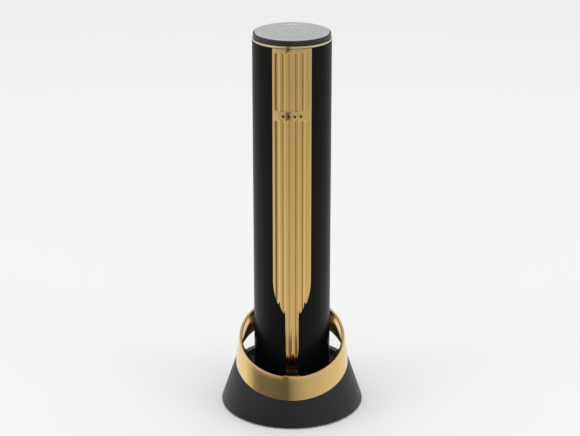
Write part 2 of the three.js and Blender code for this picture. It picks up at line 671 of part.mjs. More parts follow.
function motorRotor() {
  const low = MOTOR_Z + 4;
  const high = MOTOR_Z + MOTOR_LEN;
  return turned([
    [0, GEAR_1_Z], [AXLE_R, GEAR_1_Z], [AXLE_R, low], [ROTOR_R, low], [ROTOR_R, high - 9], [4, high - 8],
    [4, high - 4], [AXLE_R, high - 4], [AXLE_R, high - 1], [0, high - 1],
  ], 24);
}

function drivePack() {
  const group = new THREE.Group();
  const endCapZ = MOTOR_Z + MOTOR_LEN + GAP;
  group.add(piece("touch_board", disc(CHASSIS_OUT_R - SKIRT_T - RUN, TOUCH_BOARD_Z, BOARD_T), BOARD));
  group.add(piece("light_guide", lightGuide(), CLEAR));
  group.add(piece("control_board", controlBoard(), BOARD));
  group.add(piece("battery_holder", batteryHolder(), PLASTIC));
  group.add(piece("battery_cell_1", batteryCell(1), WRAP));
  group.add(piece("battery_cell_2", batteryCell(-1), WRAP));
  group.add(piece("charge_port", chargePort(), STEEL));
  group.add(piece("motor_can", motorCan(), STEEL));
  group.add(piece("motor_end_cap", disc(MOTOR_R - 0.2, endCapZ, END_CAP_T), PLASTIC));
  group.add(piece("motor_rotor", motorRotor(), BRASS));
  return group;
}

// ---- opener: gear train ----

// Outline of a spur gear: involute flanks from the root circle to the tip circle, first tooth on +X.
// A negative trim widens the teeth, as the cutter for a ring gear needs.
function gearOutline(teeth, tip, root, trim) {
  const pitchR = MODULE * teeth / 2;
  const baseR = pitchR * Math.cos(PRESSURE);
  const involute = (angle) => Math.tan(angle) - angle;
  const halfAt = (r) => {
    const pressure = Math.acos(Math.min(1, baseR / Math.max(r, baseR)));
    return Math.PI / (2 * teeth) - trim / pitchR + involute(PRESSURE) - involute(pressure);
  };
  const radii = [root, tip].sort((a, b) => a - b);
  const points = [];
  for (const middle of turnsOf(teeth)) {
    for (const r of radii) points.push(polar(r, middle - halfAt(r)));
    for (const r of [...radii].reverse()) points.push(polar(r, middle + halfAt(r)));
  }
  return points;
}

const outsideGear = (teeth) => {
  const pitchR = MODULE * teeth / 2;
  return gearOutline(teeth, pitchR + ADDENDUM, pitchR - DEDENDUM, BACKLASH);
};

function planet(z, angle) {
  const [x, y] = polar(ORBIT_R, angle);
  const gear = cut(drawn(outsideGear(PLANET_TEETH), z, GEAR_T), rod(AXLE_R + RUN, 0, 0, z - 1, GEAR_T + 2));
  return gear.rotate([0, 0, THREE.MathUtils.radToDeg(angle)]).translate([x, y, 0]);
}

function sun(z, height) {
  return drawn(outsideGear(SUN_TEETH), z, height);
}

function axles(z, height) {
  return turnsOf(PLANETS).map((angle) => rod(AXLE_R, ...polar(ORBIT_R, angle), z, height));
}

function ringGear() {
  const pitchR = MODULE * RING_TEETH / 2;
  const low = BARREL_TOP_Z + RUN;
  const body = ring(CORE_R - RING_WALL - 0.2, CORE_R, low, RING_GEAR_Z - low, FINE);
  const blank = disc(CORE_R, RING_GEAR_Z - 0.1, GEARBOX_TOP_Z - RING_GEAR_Z + 0.1, FINE);
  const space = drawn(
    gearOutline(RING_TEETH, pitchR + DEDENDUM, pitchR - ADDENDUM, -BACKLASH / 2),
    RING_GEAR_Z - 1, GEARBOX_TOP_Z - RING_GEAR_Z + 2);
  return cut(join(body, blank.subtract(space)), ...lidScrewHoles());
}

const LID_SCREW_R = 0.6;
const lidScrews = turnsOf(3, Math.PI / 6).map((angle) => polar(CORE_R - 2 * LID_SCREW_R, angle));
const lidScrewHoles = () => lidScrews.map(([x, y]) =>
  rod(LID_SCREW_R + GAP, x, y, GEARBOX_TOP_Z - 5, LID_T + 6, 8));

function gearboxLid() {
  const holes = motorScrews.map(([x, y]) => rod(MOTOR_SCREW_R + GAP, x, y, LID_Z - 1, LID_T + 2));
  const mouth = rod(AXLE_R + 2, 0, 0, LID_Z - 1, LID_T + 2);
  return cut(disc(CORE_R, LID_Z, LID_T, FINE), mouth, ...holes, ...lidScrewHoles());
}

// The slotted tube that turns the worm, with the second stage's planet carrier as its head.
function driveTube() {
  const tube = ring(DRIVE_IN_R, DRIVE_R, DRIVE_Z, PLATE_Z - DRIVE_Z + 0.2, FINE);
  const plate = disc(BARREL_R - 0.2, PLATE_Z, PLATE_T, FINE);
  const slotTop = CARRIAGE_Z + CARRIAGE_H;
  const slots = block([-BODY_R, -SLOT_W / 2, DRIVE_Z + 2], [BODY_R, SLOT_W / 2, slotTop]);
  return join(cut(tube, slots), plate, ...axles(PLATE_Z + PLATE_T - 0.2, GEAR_T + 1));
}

function carrierOne() {
  const plate = disc(ORBIT_R + AXLE_R + 1.2, CARRIER_Z, CARRIER_T, FINE);
  const secondSun = sun(GEAR_2_Z, CARRIER_Z - GEAR_2_Z + 0.2);
  return join(plate, secondSun, ...axles(CARRIER_Z + CARRIER_T - 0.2, GEAR_T + 1));
}

function gearTrain() {
  const group = new THREE.Group();
  group.add(piece("ring_gear", ringGear(), NYLON));
  group.add(piece("gearbox_lid", gearboxLid(), PLASTIC));
  lidScrews.forEach(([x, y], i) => {
    const seat = LID_Z + LID_T + 0.1;
    const body = turned([
      [0, GEARBOX_TOP_Z - 4], [LID_SCREW_R, GEARBOX_TOP_Z - 4], [LID_SCREW_R, seat], [2 * LID_SCREW_R, seat],
      [2 * LID_SCREW_R, seat + 0.9], [0, seat + 0.9],
    ], 8).translate([x, y, 0]);
    group.add(piece(`lid_screw_${i + 1}`, body, STEEL));
  });
  motorScrews.forEach(([x, y], i) => {
    const body = screw(MOTOR_SCREW_R, MOTOR_HEAD_R, LID_Z - 0.9, 0.6, LID_T + 3, x, y);
    group.add(piece(`motor_screw_${i + 1}`, body, STEEL));
  });
  group.add(piece("drive_tube", driveTube(), STEEL));
  group.add(piece("thrust_washer", ring(BARREL_IN_R, BARREL_R - 0.2, BARREL_TOP_Z + GAP, WASHER_T), BRASS));
  group.add(piece("carrier_1", carrierOne(), STEEL));
  turnsOf(PLANETS).forEach((angle, i) => {
    group.add(piece(`stage_1_planet_${i + 1}`, planet(GEAR_1_Z, angle), NYLON));
    group.add(piece(`stage_2_planet_${i + 1}`, planet(GEAR_2_Z, angle), STEEL));
  });
  const pinion = cut(sun(GEAR_1_Z, GEAR_T), rod(AXLE_R + GAP, 0, 0, GEAR_1_Z - 1, GEAR_T + 2));
  group.add(piece("motor_pinion", pinion, BRASS));
  return group;
}

// ---- opener: worm, carriage and spiral barrel ----

// The two pins are on opposite sides, so one runs half a lead above the other in the single groove.
const PIN_Z = CARRIAGE_Z + CARRIAGE_H / 2 - LEAD / 4;

// Cutter for the groove inside the barrel: a square bar along a right-handed helix through the pins.
function grooveCutter() {
  const half = PIN_R + 0.5;
  const low = PIN_Z - FEED - 1;
  const high = PIN_Z + LEAD / 2 + 1;
  const corner = Math.SQRT2;
  const middle = BARREL_IN_R + GROOVE_DEPTH / 2 - 0.3;
  const at = (t) => {
    const z = THREE.MathUtils.lerp(low, high, t);
    const angle = 2 * Math.PI * (z - PIN_Z) / LEAD;
    const out = new THREE.Vector3(Math.cos(angle), Math.sin(angle), 0);
    const up = new THREE.Vector3(0, 0, 1);
    const centre = out.clone().multiplyScalar(middle).add(new THREE.Vector3(0, 0, z));
    return { centre, out, up, half: [corner * (GROOVE_DEPTH / 2 + 0.3), corner * half] };
  };
  return capped(at, Math.round(BAR_STEPS * (high - low) / LEAD));
}

// A square bar with flat ends.
function capped(at, steps) {
  const place = (u, v, target) => {
    const step = Math.min(Math.max(Math.round(v * (steps + 2)) - 1, 0), steps);
    const end = v < 0.5 / (steps + 2) || v > 1 - 0.5 / (steps + 2);
    const { centre, out, up, half } = at(step / steps);
    const angle = Math.PI / 4 + Math.PI / 2 * (Math.round(u * 4) % 4);
    target.copy(centre);
    if (end) return;
    target.addScaledVector(out, half[0] * Math.cos(angle));
    target.addScaledVector(up, half[1] * Math.sin(angle));
  };
  return solid(new ParametricGeometry(place, 4, steps + 2));
}

function spiralBarrel() {
  const lipR = BARREL_R + 1.4;
  const body = turnedRing([
    [BARREL_IN_R, BARREL_Z], [lipR, BARREL_Z], [lipR, BARREL_Z + 2], [BARREL_R, BARREL_Z + 2],
    [BARREL_R, BARREL_TOP_Z - 4], [CORE_R, BARREL_TOP_Z - 3],
    [CORE_R, BARREL_TOP_Z], [BARREL_IN_R, BARREL_TOP_Z],
  ], FINE);
  return body.subtract(grooveCutter());
}

// The worm: a wire that winds down at a constant lead, from a straight shank to a point.
function worm() {
  const coilTop = CARRIAGE_Z - 3;
  const shankTop = NUT_Z + NUT_T + 0.2;
  const total = shankTop - TIP_REST_Z;
  const at = (t) => {
    const z = TIP_REST_Z + total * t;
    const angle = 2 * Math.PI * (z - TIP_REST_Z) / LEAD;
    const lean = THREE.MathUtils.smoothstep(z, coilTop - LEAD / 2, coilTop + 1);
    const radius = WORM_R * (1 - lean);
    const out = new THREE.Vector3(Math.cos(angle), Math.sin(angle), 0);
    const along = new THREE.Vector3(-Math.sin(angle), Math.cos(angle), 0).multiplyScalar(radius);
    along.z = LEAD / (2 * Math.PI);
    const up = along.normalize().cross(out).negate();
    const point = THREE.MathUtils.smoothstep(z, TIP_REST_Z - 0.1, TIP_REST_Z + LEAD / 2);
    const closed = t === 0 || t === 1 ? 0 : 1;
    const size = WIRE_R * (0.15 + 0.85 * point) * closed;
    const height = t === 1 ? shankTop : z;
    const centre = out.clone().multiplyScalar(radius).setZ(height);
    return { centre, out, up, half: [size, size] };
  };
  return bar(at, Math.round(0.6 * BAR_STEPS * total / LEAD), 6);
}

function wormCarriage() {
  const top = CARRIAGE_Z + CARRIAGE_H;
  const body = turned([
    [0, CARRIAGE_Z], [5, CARRIAGE_Z], [5.6, CARRIAGE_Z + 2], [DRIVE_IN_R - RUN, CARRIAGE_Z + 2],
    [DRIVE_IN_R - RUN, top], [0, top],
  ], FINE);
  const bore = rod(WIRE_R + GAP, 0, 0, CARRIAGE_Z - 1, CARRIAGE_H + 2);
  return cut(body, bore, guidePin(0, GAP), guidePin(1, GAP));
}

function guidePin(index, margin = 0) {
  const inner = 6 - margin;
  const outer = BARREL_IN_R + PIN_REACH;
  const length = outer - inner + margin;
  const z = PIN_Z + index * LEAD / 2;
  return rod(PIN_R + margin, 0, 0, inner, length, 14).rotate([0, 90, 180 * index]).translate([0, 0, z]);
}

function wormNut() {
  return cut(disc(3.6, NUT_Z, NUT_T, 6), rod(WIRE_R + GAP, 0, 0, NUT_Z - 1, NUT_T + 2));
}

function feed() {
  const group = new THREE.Group();
  group.add(piece("spiral_barrel", spiralBarrel(), NYLON));
  group.add(piece("worm", worm(), STEEL));
  group.add(piece("worm_carriage", wormCarriage(), PLASTIC));
  group.add(piece("guide_pin_1", guidePin(0), STEEL));
  group.add(piece("guide_pin_2", guidePin(1), STEEL));
  group.add(piece("worm_nut", wormNut(), STEEL));
  return group;
}

// ---- the whole object ----

const opener = new THREE.Group();
opener.add(shells(), drivePack(), gearTrain(), feed());
opener.position.z = SOCKET_Z;

const wineOpener = new THREE.Group();
wineOpener.name = "electric_wine_opener";
wineOpener.add(holder(), opener);

export default wineOpener;
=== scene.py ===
"""Electric wine opener in its holder: the looks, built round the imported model.

Lengths are in metres and +Z is up. The front, with the fluted panel, faces -Y.
"""

import json
import math

import bmesh
import bpy
import numpy as np
from mathutils import Euler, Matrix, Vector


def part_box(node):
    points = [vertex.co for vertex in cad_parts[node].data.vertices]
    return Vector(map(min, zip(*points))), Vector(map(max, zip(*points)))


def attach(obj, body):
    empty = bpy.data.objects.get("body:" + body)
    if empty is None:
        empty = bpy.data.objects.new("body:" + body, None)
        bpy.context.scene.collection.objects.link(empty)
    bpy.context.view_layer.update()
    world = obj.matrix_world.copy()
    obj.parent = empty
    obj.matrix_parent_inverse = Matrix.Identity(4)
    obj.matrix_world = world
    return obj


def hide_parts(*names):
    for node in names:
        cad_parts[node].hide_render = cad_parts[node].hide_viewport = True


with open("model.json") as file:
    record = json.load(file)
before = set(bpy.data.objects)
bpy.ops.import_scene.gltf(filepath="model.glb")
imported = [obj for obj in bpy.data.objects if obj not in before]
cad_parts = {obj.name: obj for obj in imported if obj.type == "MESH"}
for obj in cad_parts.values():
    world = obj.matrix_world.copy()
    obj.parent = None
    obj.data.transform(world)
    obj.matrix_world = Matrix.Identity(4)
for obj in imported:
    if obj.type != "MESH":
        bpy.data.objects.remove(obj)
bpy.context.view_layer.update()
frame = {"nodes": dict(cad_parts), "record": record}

bl_info = {
    "name": "Electric wine opener",
    "version": (1, 0, 0),
    "blender": (4, 5, 0),
    "location": "View3D > Sidebar > Wine opener",
    "description": "Builds the finish, the fine shapes and the studio of a cordless wine opener",
    "category": "Object",
}

MM = 0.001
FULL = 2 * math.pi
ROOM = 0.3 * MM  # left between a part and the hollow that takes it


# -------------------- sizes taken from the frame

def low(node):
    """Lowest corner of a CAD node."""
    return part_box(node)[0]


def high(node):
    """Highest corner of a CAD node."""
    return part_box(node)[1]


def box_and_axis(node):
    """Both corners of a CAD node, and the x and y halfway between them."""
    corner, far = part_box(node)
    return corner, far, ((corner.x + far.x) / 2, (corner.y + far.y) / 2)


TUBE_R = high("body_tube").x
TUBE_LOW = low("body_tube").z
TUBE_TOP = high("body_tube").z
PANEL_TOP = low("trim_ring").z - 0.12 * MM
PANEL_LOW = low("front_panel").z
CONE_FOOT_R = 45.58 * MM  # the cone's radius at the floor
CONE_SLOPE = 0.3377  # radius lost for each unit of height
RIM_Z = 24.7 * MM
DISH_Z = 19 * MM
DISH_R = 33.6 * MM
FLOOR_T = 2.4 * MM  # thickness under the dish and the well
MOUTH_R = 17.4 * MM
HEAD_STEP = 0.8 * MM  # a mouth screw's head stands out this far round its shank
HEAD_T = 1.2 * MM
BOSS_BORE_R = 1.8 * MM
BOSS_R = 3.3 * MM


# -------------------- meshes from arrays

def shape_from(name, points, faces):
    """A mesh object from arrays of points and quads, with smooth shading."""
    mesh = bpy.data.meshes.new(name)
    mesh.from_pydata(points.tolist(), [], faces.tolist())
    mesh.validate()
    mesh.shade_smooth()
    piece = bpy.data.objects.new(name, mesh)
    bpy.context.scene.collection.objects.link(piece)
    return piece


def grid_faces(rows, columns, round_rows, round_columns):
    """Quads of a rows by columns grid, which may close on itself either way."""
    last_row = rows if round_rows else rows - 1
    last_column = columns if round_columns else columns - 1
    i, j = np.meshgrid(np.arange(last_row), np.arange(last_column), indexing="ij")
    next_i, next_j = (i + 1) % rows, (j + 1) % columns
    corners = [i * columns + j, i * columns + next_j, next_i * columns + next_j, next_i * columns + j]
    return np.stack(corners, -1).reshape(-1, 4)


def grid_piece(name, points, round_rows=False, round_columns=False):
    """A piece from a rows x columns x 3 array of points."""
    rows, columns, _ = points.shape
    return shape_from(name, points.reshape(-1, 3), grid_faces(rows, columns, round_rows, round_columns))


def arc_corner(before, corner, after, radius, steps=5):
    """Points of the arc that rounds one corner of an outline, touching both of its sides."""
    a, b = np.subtract(before, corner), np.subtract(after, corner)
    reach_a, reach_b = np.linalg.norm(a), np.linalg.norm(b)
    a, b = a / reach_a, b / reach_b
    half = math.acos(np.clip(a @ b, -1, 1)) / 2
    setback = min(radius / math.tan(half), 0.45 * reach_a, 0.45 * reach_b)
    radius = setback * math.tan(half)
    middle = np.add(corner, (a + b) / np.linalg.norm(a + b) * radius / math.sin(half))
    start, end = corner + a * setback - middle, corner + b * setback - middle
    sweep = math.acos(np.clip(start @ end / radius**2, -1, 1))
    t = np.linspace(0, 1, steps)[:, None]
    return middle + (np.sin((1 - t) * sweep) * start + np.sin(t * sweep) * end) / math.sin(sweep)


def rounded(outline, radius=0.0003, steps=5):
    """A closed outline of (r, z) corners with every corner rounded by an arc.

    radius is one value or one for each corner, and 0 leaves a corner sharp."""
    outline = np.asarray(outline, float)
    radii = np.broadcast_to(radius, len(outline))
    parts = []
    for k, corner in enumerate(outline):
        if radii[k] > 0:
            parts.append(arc_corner(outline[k - 1], corner, outline[(k + 1) % len(outline)], radii[k], steps))
        else:
            parts.append(corner[None])
    return np.concatenate(parts)


def turned(name, outline, sides=192, offset=(0, 0)):
    """A closed (r, z) outline carried round the vertical axis: x = r cos a, y = r sin a."""
    outline = np.asarray(outline, float)
    angle = np.linspace(0, FULL, sides, endpoint=False)
    r, z = outline[:, 0], outline[:, 1]
    x = offset[0] + np.outer(r, np.cos(angle))
    y = offset[1] + np.outer(r, np.sin(angle))
    points = np.stack([x, y, np.broadcast_to(z[:, None], x.shape)], -1)
    return pointing_out(grid_piece(name, points, True, True))


def solid_turned(name, outline, sides=192, offset=(0, 0)):
    """As turned, for an outline that starts and ends on the axis: both poles are closed."""
    piece = turned(name, outline, sides, offset)
    tidy(piece)
    return piece


def tidy(piece):
    """Merges doubled points, drops faces of no size and turns all faces outwards."""
    work = bmesh.new()
    work.from_mesh(piece.data)
    bmesh.ops.remove_doubles(work, verts=work.verts, dist=1e-7)
    bmesh.ops.dissolve_degenerate(work, edges=work.edges, dist=1e-8)
    bmesh.ops.recalc_face_normals(work, faces=work.faces)
    work.to_mesh(piece.data)
    work.free()
    piece.data.shade_smooth()
    return piece


def pointing_out(piece):
    """Turns a closed mesh's faces outwards if its volume comes out negative."""
    mesh = piece.data
    points = np.empty(3 * len(mesh.vertices))
    mesh.vertices.foreach_get("co", points)
    points = points.reshape(-1, 3)
    mesh.calc_loop_triangles()
    corners = np.empty(3 * len(mesh.loop_triangles), int)
    mesh.loop_triangles.foreach_get("vertices", corners)
    a, b, c = (points[corners.reshape(-1, 3)[:, k]] for k in range(3))
    if np.einsum("ij,ij->", a, np.cross(b, c)) < 0:
        mesh.flip_normals()
    return piece


def cut_away(piece, tool):
    """Cuts a closed tool shape out of a piece for good, and removes the tool."""
    cutter = piece.modifiers.new("cut", "BOOLEAN")
    cutter.operation = "DIFFERENCE"
    cutter.solver = "EXACT"
    cutter.object = tool
    apply_modifiers(piece)
    bpy.data.objects.remove(tool)
    piece.data.shade_smooth()
    return piece


def apply_modifiers(piece):
    """Puts the result of a piece's modifiers into its mesh."""
    bpy.context.view_layer.update()
    result = bpy.data.meshes.new_from_object(piece.evaluated_get(bpy.context.evaluated_depsgraph_get()))
    piece.modifiers.clear()
    old = piece.data
    piece.data = result
    bpy.data.meshes.remove(old)
    return piece


def crisp(piece, angle=35):
    """Smooth shading that breaks at edges sharper than an angle in degrees."""
    piece.data.shade_smooth()
    piece.data.set_sharp_from_angle(angle=math.radians(angle))
    return piece


# -------------------- shader expressions

class Value:
    """A shader socket that takes part in Python arithmetic: each operation adds a Math node."""

    def __init__(self, shader, socket):
        self.shader = shader
        self.socket = socket

    def _math(self, operation, *values):
        return self.shader.node("ShaderNodeMath", {"operation": operation}, *values)

    def __add__(self, other):
        return self._math("ADD", self, other)

    def __sub__(self, other):
        return self._math("SUBTRACT", self, other)

    def __rsub__(self, other):
        return self._math("SUBTRACT", other, self)

    def __mul__(self, other):
        return self._math("MULTIPLY", self, other)

    def __truediv__(self, other):
        return self._math("DIVIDE", self, other)

    __radd__ = __add__
    __rmul__ = __mul__

    def abs(self):
        return self._math("ABSOLUTE", self)

    def below(self, limit):
        return self._math("LESS_THAN", self, limit)

    def above(self, limit):
        return self._math("GREATER_THAN", self, limit)

    def power(self, exponent):
        return self._math("POWER", self, exponent)

    def clamped(self):
        found = self._math("ADD", self, 0.0)
        found.socket.node.use_clamp = True
        return found


class Shader:
    """A material under construction: one Principled shader and the nodes that feed it."""

    def __init__(self, name, **constants):
        self.material = bpy.data.materials.new(name)
        self.material.use_nodes = True
        self.tree = self.material.node_tree
        self.surface = self.tree.nodes["Principled BSDF"]
        for socket, value in constants.items():
            self.surface.inputs[socket.replace("_", " ")].default_value = value

    def node(self, kind, settings=None, *values, output=0, **named):
        """Adds a node: its settings first, then its sockets by order or by name."""
        made = self.tree.nodes.new(kind)
        for name, value in (settings or {}).items():
            setattr(made, name, value)
        for key, value in [*enumerate(values), *((n.replace("_", " "), v) for n, v in named.items())]:
            if isinstance(value, Value):
                self.tree.links.new(value.socket, made.inputs[key])
            else:
                made.inputs[key].default_value = value
        return Value(self, made.outputs[output])

    def place(self, scale=(1, 1, 1)):
        """The piece's own coordinates in metres, stretched by scale."""
        where = self.node("ShaderNodeTexCoord", output="Object")
        return self.node("ShaderNodeMapping", None, Vector=where, Scale=scale)

    def noise(self, scale, detail=3.0, stretch=(1, 1, 1), rough=0.5):
        """Noise from 0 to 1, with scale cells to the metre."""
        return self.node("ShaderNodeTexNoise", None, Vector=self.place(stretch), Scale=scale, Detail=detail,
                         Roughness=rough)

    def axes(self):
        """The x, y and z of the piece's own coordinates, in metres."""
        where = self.node("ShaderNodeTexCoord", output="Object")
        parts = self.node("ShaderNodeSeparateXYZ", None, where)
        return [Value(self, parts.socket.node.outputs[k]) for k in range(3)]

    def mix(self, factor, a, b):
        """A colour between a and b."""
        made = self.tree.nodes.new("ShaderNodeMix")
        made.data_type = "RGBA"
        for key, value in (("Factor_Float", factor), ("A_Color", a), ("B_Color", b)):
            socket = next(s for s in made.inputs if s.identifier == key)
            if isinstance(value, Value):
                self.tree.links.new(value.socket, socket)
            else:
                socket.default_value = value
        return Value(self, next(s for s in made.outputs if s.identifier == "Result_Color"))

    def ramp(self, value, stops):
        """A colour ramp whose stops are (place, grey) pairs."""
        made = self.tree.nodes.new("ShaderNodeValToRGB")
        elements = made.color_ramp.elements
        while len(elements) < len(stops):
            elements.new(0.5)
        for element, (place, grey) in zip(elements, stops):
            element.position = place
            element.color = (grey, grey, grey, 1)
        self.tree.links.new(value.socket, made.inputs[0])
        return Value(self, made.outputs[0])

    def feed(self, socket, value):
        """Joins a value to one of the Principled shader's inputs."""
        self.tree.links.new(value.socket, self.surface.inputs[socket])

    def bump(self, height, distance):
        """Small relief: distance is the height in metres of one unit of height."""
        normal = self.node("ShaderNodeBump", None, Distance=distance, Height=height)
        self.feed("Normal", normal)


def colour(red, green, blue):
    return (red, green, blue, 1.0)


def shade(base, amount):
    """A colour made lighter or darker by a share."""
    return tuple(min(1.0, c * (1 + amount)) for c in base[:3]) + (1.0,)


# -------------------- settings

class OpenerSizes(bpy.types.PropertyGroup):
    """Sizes of the fine shapes that the model leaves to this script."""

    panel_half: bpy.props.FloatProperty(
        name="Panel half width", description="Half of the fluted panel's width, along the curve",
        default=12.02 * MM, unit="LENGTH")
    panel_proud: bpy.props.FloatProperty(
        name="Panel height", description="How far the panel's lands stand out of the tube",
        default=0.22 * MM, unit="LENGTH")
    flute_width: bpy.props.FloatProperty(
        name="Flute width", description="Width of one flute", default=3.52 * MM, unit="LENGTH")
    flute_depth: bpy.props.FloatProperty(
        name="Flute depth", description="Depth of a flute in its middle",
        default=0.52 * MM, unit="LENGTH")
    flute_arch: bpy.props.FloatProperty(
        name="Flute arch", description="Length of the pointed end of a flute",
        default=1.9 * MM, unit="LENGTH")
    lamp_radius: bpy.props.FloatProperty(
        name="Lamp hole", description="Radius of the four lamp holes", default=0.85 * MM, unit="LENGTH")
    edge: bpy.props.FloatProperty(
        name="Edge rounding", description="Rounding of the small edges", default=0.3 * MM, unit="LENGTH")


class OpenerFinish(bpy.types.PropertyGroup):
    """Colours of the opener and its holder."""

    gold: bpy.props.FloatVectorProperty(
        name="Gold", description="Plated panel, band and trim ring", subtype="COLOR", size=4, min=0, max=1,
        default=(0.82, 0.565, 0.225, 1))
    # Painted shade: a deeper, darker gold painted down in the flutes, in place of the double reflections
    # between their walls.
    flute_painted_shade: bpy.props.FloatVectorProperty(
        name="Flute gold", description="The plating down in the flutes", subtype="COLOR", size=4, min=0,
        max=1, default=(0.81, 0.51, 0.165, 1))
    # Painted highlight: a paler, whiter gold for the trim ring, in place of the bright sky that its rounded
    # top edge reflects.
    trim_painted_highlight: bpy.props.FloatVectorProperty(
        name="Trim gold", description="The paler trim ring", subtype="COLOR", size=4, min=0, max=1,
        default=(0.81, 0.69, 0.42, 1))
    lacquer: bpy.props.FloatVectorProperty(
        name="Lacquer", description="Black tube", subtype="COLOR", size=4, min=0, max=1,
        default=(0.0030, 0.0033, 0.0033, 1))
    moulding: bpy.props.FloatVectorProperty(
        name="Holder black", description="Satin black moulding of the holder", subtype="COLOR", size=4, min=0,
        max=1, default=(0.0125, 0.0125, 0.013, 1))
    # Painted light: a lighter charcoal painted on the dish and rim, for the light from above that falls into
    # them.
    dish_painted_light: bpy.props.FloatVectorProperty(
        name="Dish charcoal", description="Dish and rim of the holder", subtype="COLOR", size=4, min=0, max=1,
        default=(0.060, 0.064, 0.067, 1))
    touch: bpy.props.FloatVectorProperty(
        name="Touch grey", description="Grey touch disc", subtype="COLOR", size=4, min=0, max=1,
        default=(0.40, 0.405, 0.41, 1))


class StudioSettings(bpy.types.PropertyGroup):
    """Where the camera stands and how strong the lamps are."""

    distance: bpy.props.FloatProperty(
        name="Camera distance", description="From the opener's axis", default=0.98734, unit="LENGTH")
    height: bpy.props.FloatProperty(
        name="Camera height", description="Above the floor", default=0.48569, unit="LENGTH")
    tilt: bpy.props.FloatProperty(
        name="Camera tilt", description="Below the horizontal", default=math.radians(20.131), subtype="ANGLE")
    lens: bpy.props.FloatProperty(name="Lens", description="Focal length in millimetres", default=104.90)
    key: bpy.props.FloatProperty(name="Lamps", description="Power of each of the three lamps", default=2.0)
    world: bpy.props.FloatProperty(
        name="Room light", description="Strength of the even light", default=0.97)


def sizes():
    """The sizes."""
    return bpy.context.scene.opener_sizes


def finishes():
    """The scene's colours."""
    return bpy.context.scene.opener_finish


# -------------------- finishes

def polished_gold():
    """Pale gold plating on brushed metal: faint lines along one direction and a slow drift of tone.

    Below the trim ring a deeper, darker yellow is painted in the flutes as painted shade, in place of the
    double reflections between their walls: the share is how far a point lies inside a skin just outside the
    tube, divided by about a flute's depth."""
    base = tuple(finishes().gold)
    deep = tuple(finishes().flute_painted_shade)
    skin, full_depth = TUBE_R + 0.2 * MM, 0.5 * MM
    shader = Shader("polished_gold", Metallic=1.0, IOR=1.5)
    x, y, z = shader.axes()
    # Painted shade: the share of the darker flute gold grows with the depth into a flute.
    inside = ((x * x + y * y).power(0.5) * -1.0 + skin) * (1 / full_depth)
    flute_shade_share = inside.clamped() * z.below(PANEL_TOP)
    drift = shader.noise(45, 2)
    brushing = shader.noise(2600, 2, (1, 1, 0.02))
    plain = shader.mix(drift, shade(base, -0.05), shade(base, 0.05))
    on_trim = z.above(PANEL_TOP)
    panel_tone = shader.mix(flute_shade_share, plain, deep)
    # Above the panel the trim ring takes the paler gold of its painted highlight.
    shader.feed("Base Color", shader.mix(on_trim, panel_tone, tuple(finishes().trim_painted_highlight)))
    shader.feed("Roughness", 0.085 + 0.03 * drift + 0.03 * brushing)
    shader.bump(brushing, 0.004 * MM)
    return shader.material


def black_lacquer():
    """Satin black lacquer over metal: a soft coat with the faint waviness of sprayed paint."""
    base = tuple(finishes().lacquer)
    shader = Shader("black_lacquer", Metallic=0.0, Specular_IOR_Level=0.105)
    wave = shader.noise(420, 3)
    speck = shader.noise(5200, 2)
    shader.feed("Base Color", shader.mix(wave, shade(base, -0.12), shade(base, 0.12)))
    shader.feed("Roughness", 0.30 + 0.05 * wave + 0.04 * speck)
    shader.bump(wave * 0.7 + speck * 0.3, 0.006 * MM)
    return shader.material


def spark_black():
    """Satin black plastic with the fine grain of a spark-eroded mould, with a lighter charcoal painted on the
    dish and rim as painted light from above.

    A point is in the dish or on the rim if it is above the dish's floor and its radius plus CONE_SLOPE times
    its height is over a millimetre short of CONE_FOOT_R."""
    base = tuple(finishes().moulding)
    shader = Shader("spark_black", Metallic=0.0, Specular_IOR_Level=0.3)
    x, y, z = shader.axes()
    # Painted light: the dish and rim are picked out below and painted a lighter charcoal.
    short = ((x * x + y * y).power(0.5) + z * CONE_SLOPE).below(CONE_FOOT_R - MM)
    inside = short * z.above(DISH_Z - 0.5 * MM)
    grain = shader.noise(3400, 4, rough=0.65)
    patch = shader.noise(60, 3)
    outer = shader.mix(grain * 0.7 + patch * 0.3, shade(base, -0.25), shade(base, 0.25))
    shader.feed("Base Color", shader.mix(inside, outer, tuple(finishes().dish_painted_light)))
    shader.feed("Roughness", 0.40 + 0.10 * grain + 0.05 * patch)
    shader.bump(grain, 0.02 * MM)
    return shader.material


def moulded(name, base, roughness=0.5, grain=2400):
    """Moulded plastic: a fine grain with a slow drift of tone."""
    shader = Shader(name, Metallic=0.0)
    fine = shader.noise(grain, 3)
    drift = shader.noise(70, 2)
    shader.feed("Base Color", shader.mix(drift, shade(base, -0.1), shade(base, 0.1)))
    shader.feed("Roughness", roughness - 0.05 + 0.1 * fine)
    shader.bump(fine, 0.012 * MM)
    return shader.material


def machined(name, base, roughness=0.28, lines=(1, 1, 14)):
    """Turned or pressed metal: fine lines round the axis."""
    shader = Shader(name, Metallic=1.0)
    turning = shader.noise(900, 2, lines)
    drift = shader.noise(90, 3)
    shader.feed("Base Color", shader.mix(drift, shade(base, -0.12), shade(base, 0.08)))
    shader.feed("Roughness", roughness - 0.06 + 0.12 * turning)
    shader.bump(turning, 0.006 * MM)
    return shader.material


def rubber():
    """Matt black rubber with a dusty bloom."""
    shader = Shader("black_rubber", Metallic=0.0)
    bloom = shader.noise(220, 4)
    shader.feed("Base Color", shader.mix(bloom, colour(0.012, 0.012, 0.012), colour(0.026, 0.026, 0.026)))
    shader.feed("Roughness", 0.72 + 0.15 * bloom)
    shader.bump(shader.noise(1800, 3), 0.02 * MM)
    return shader.material


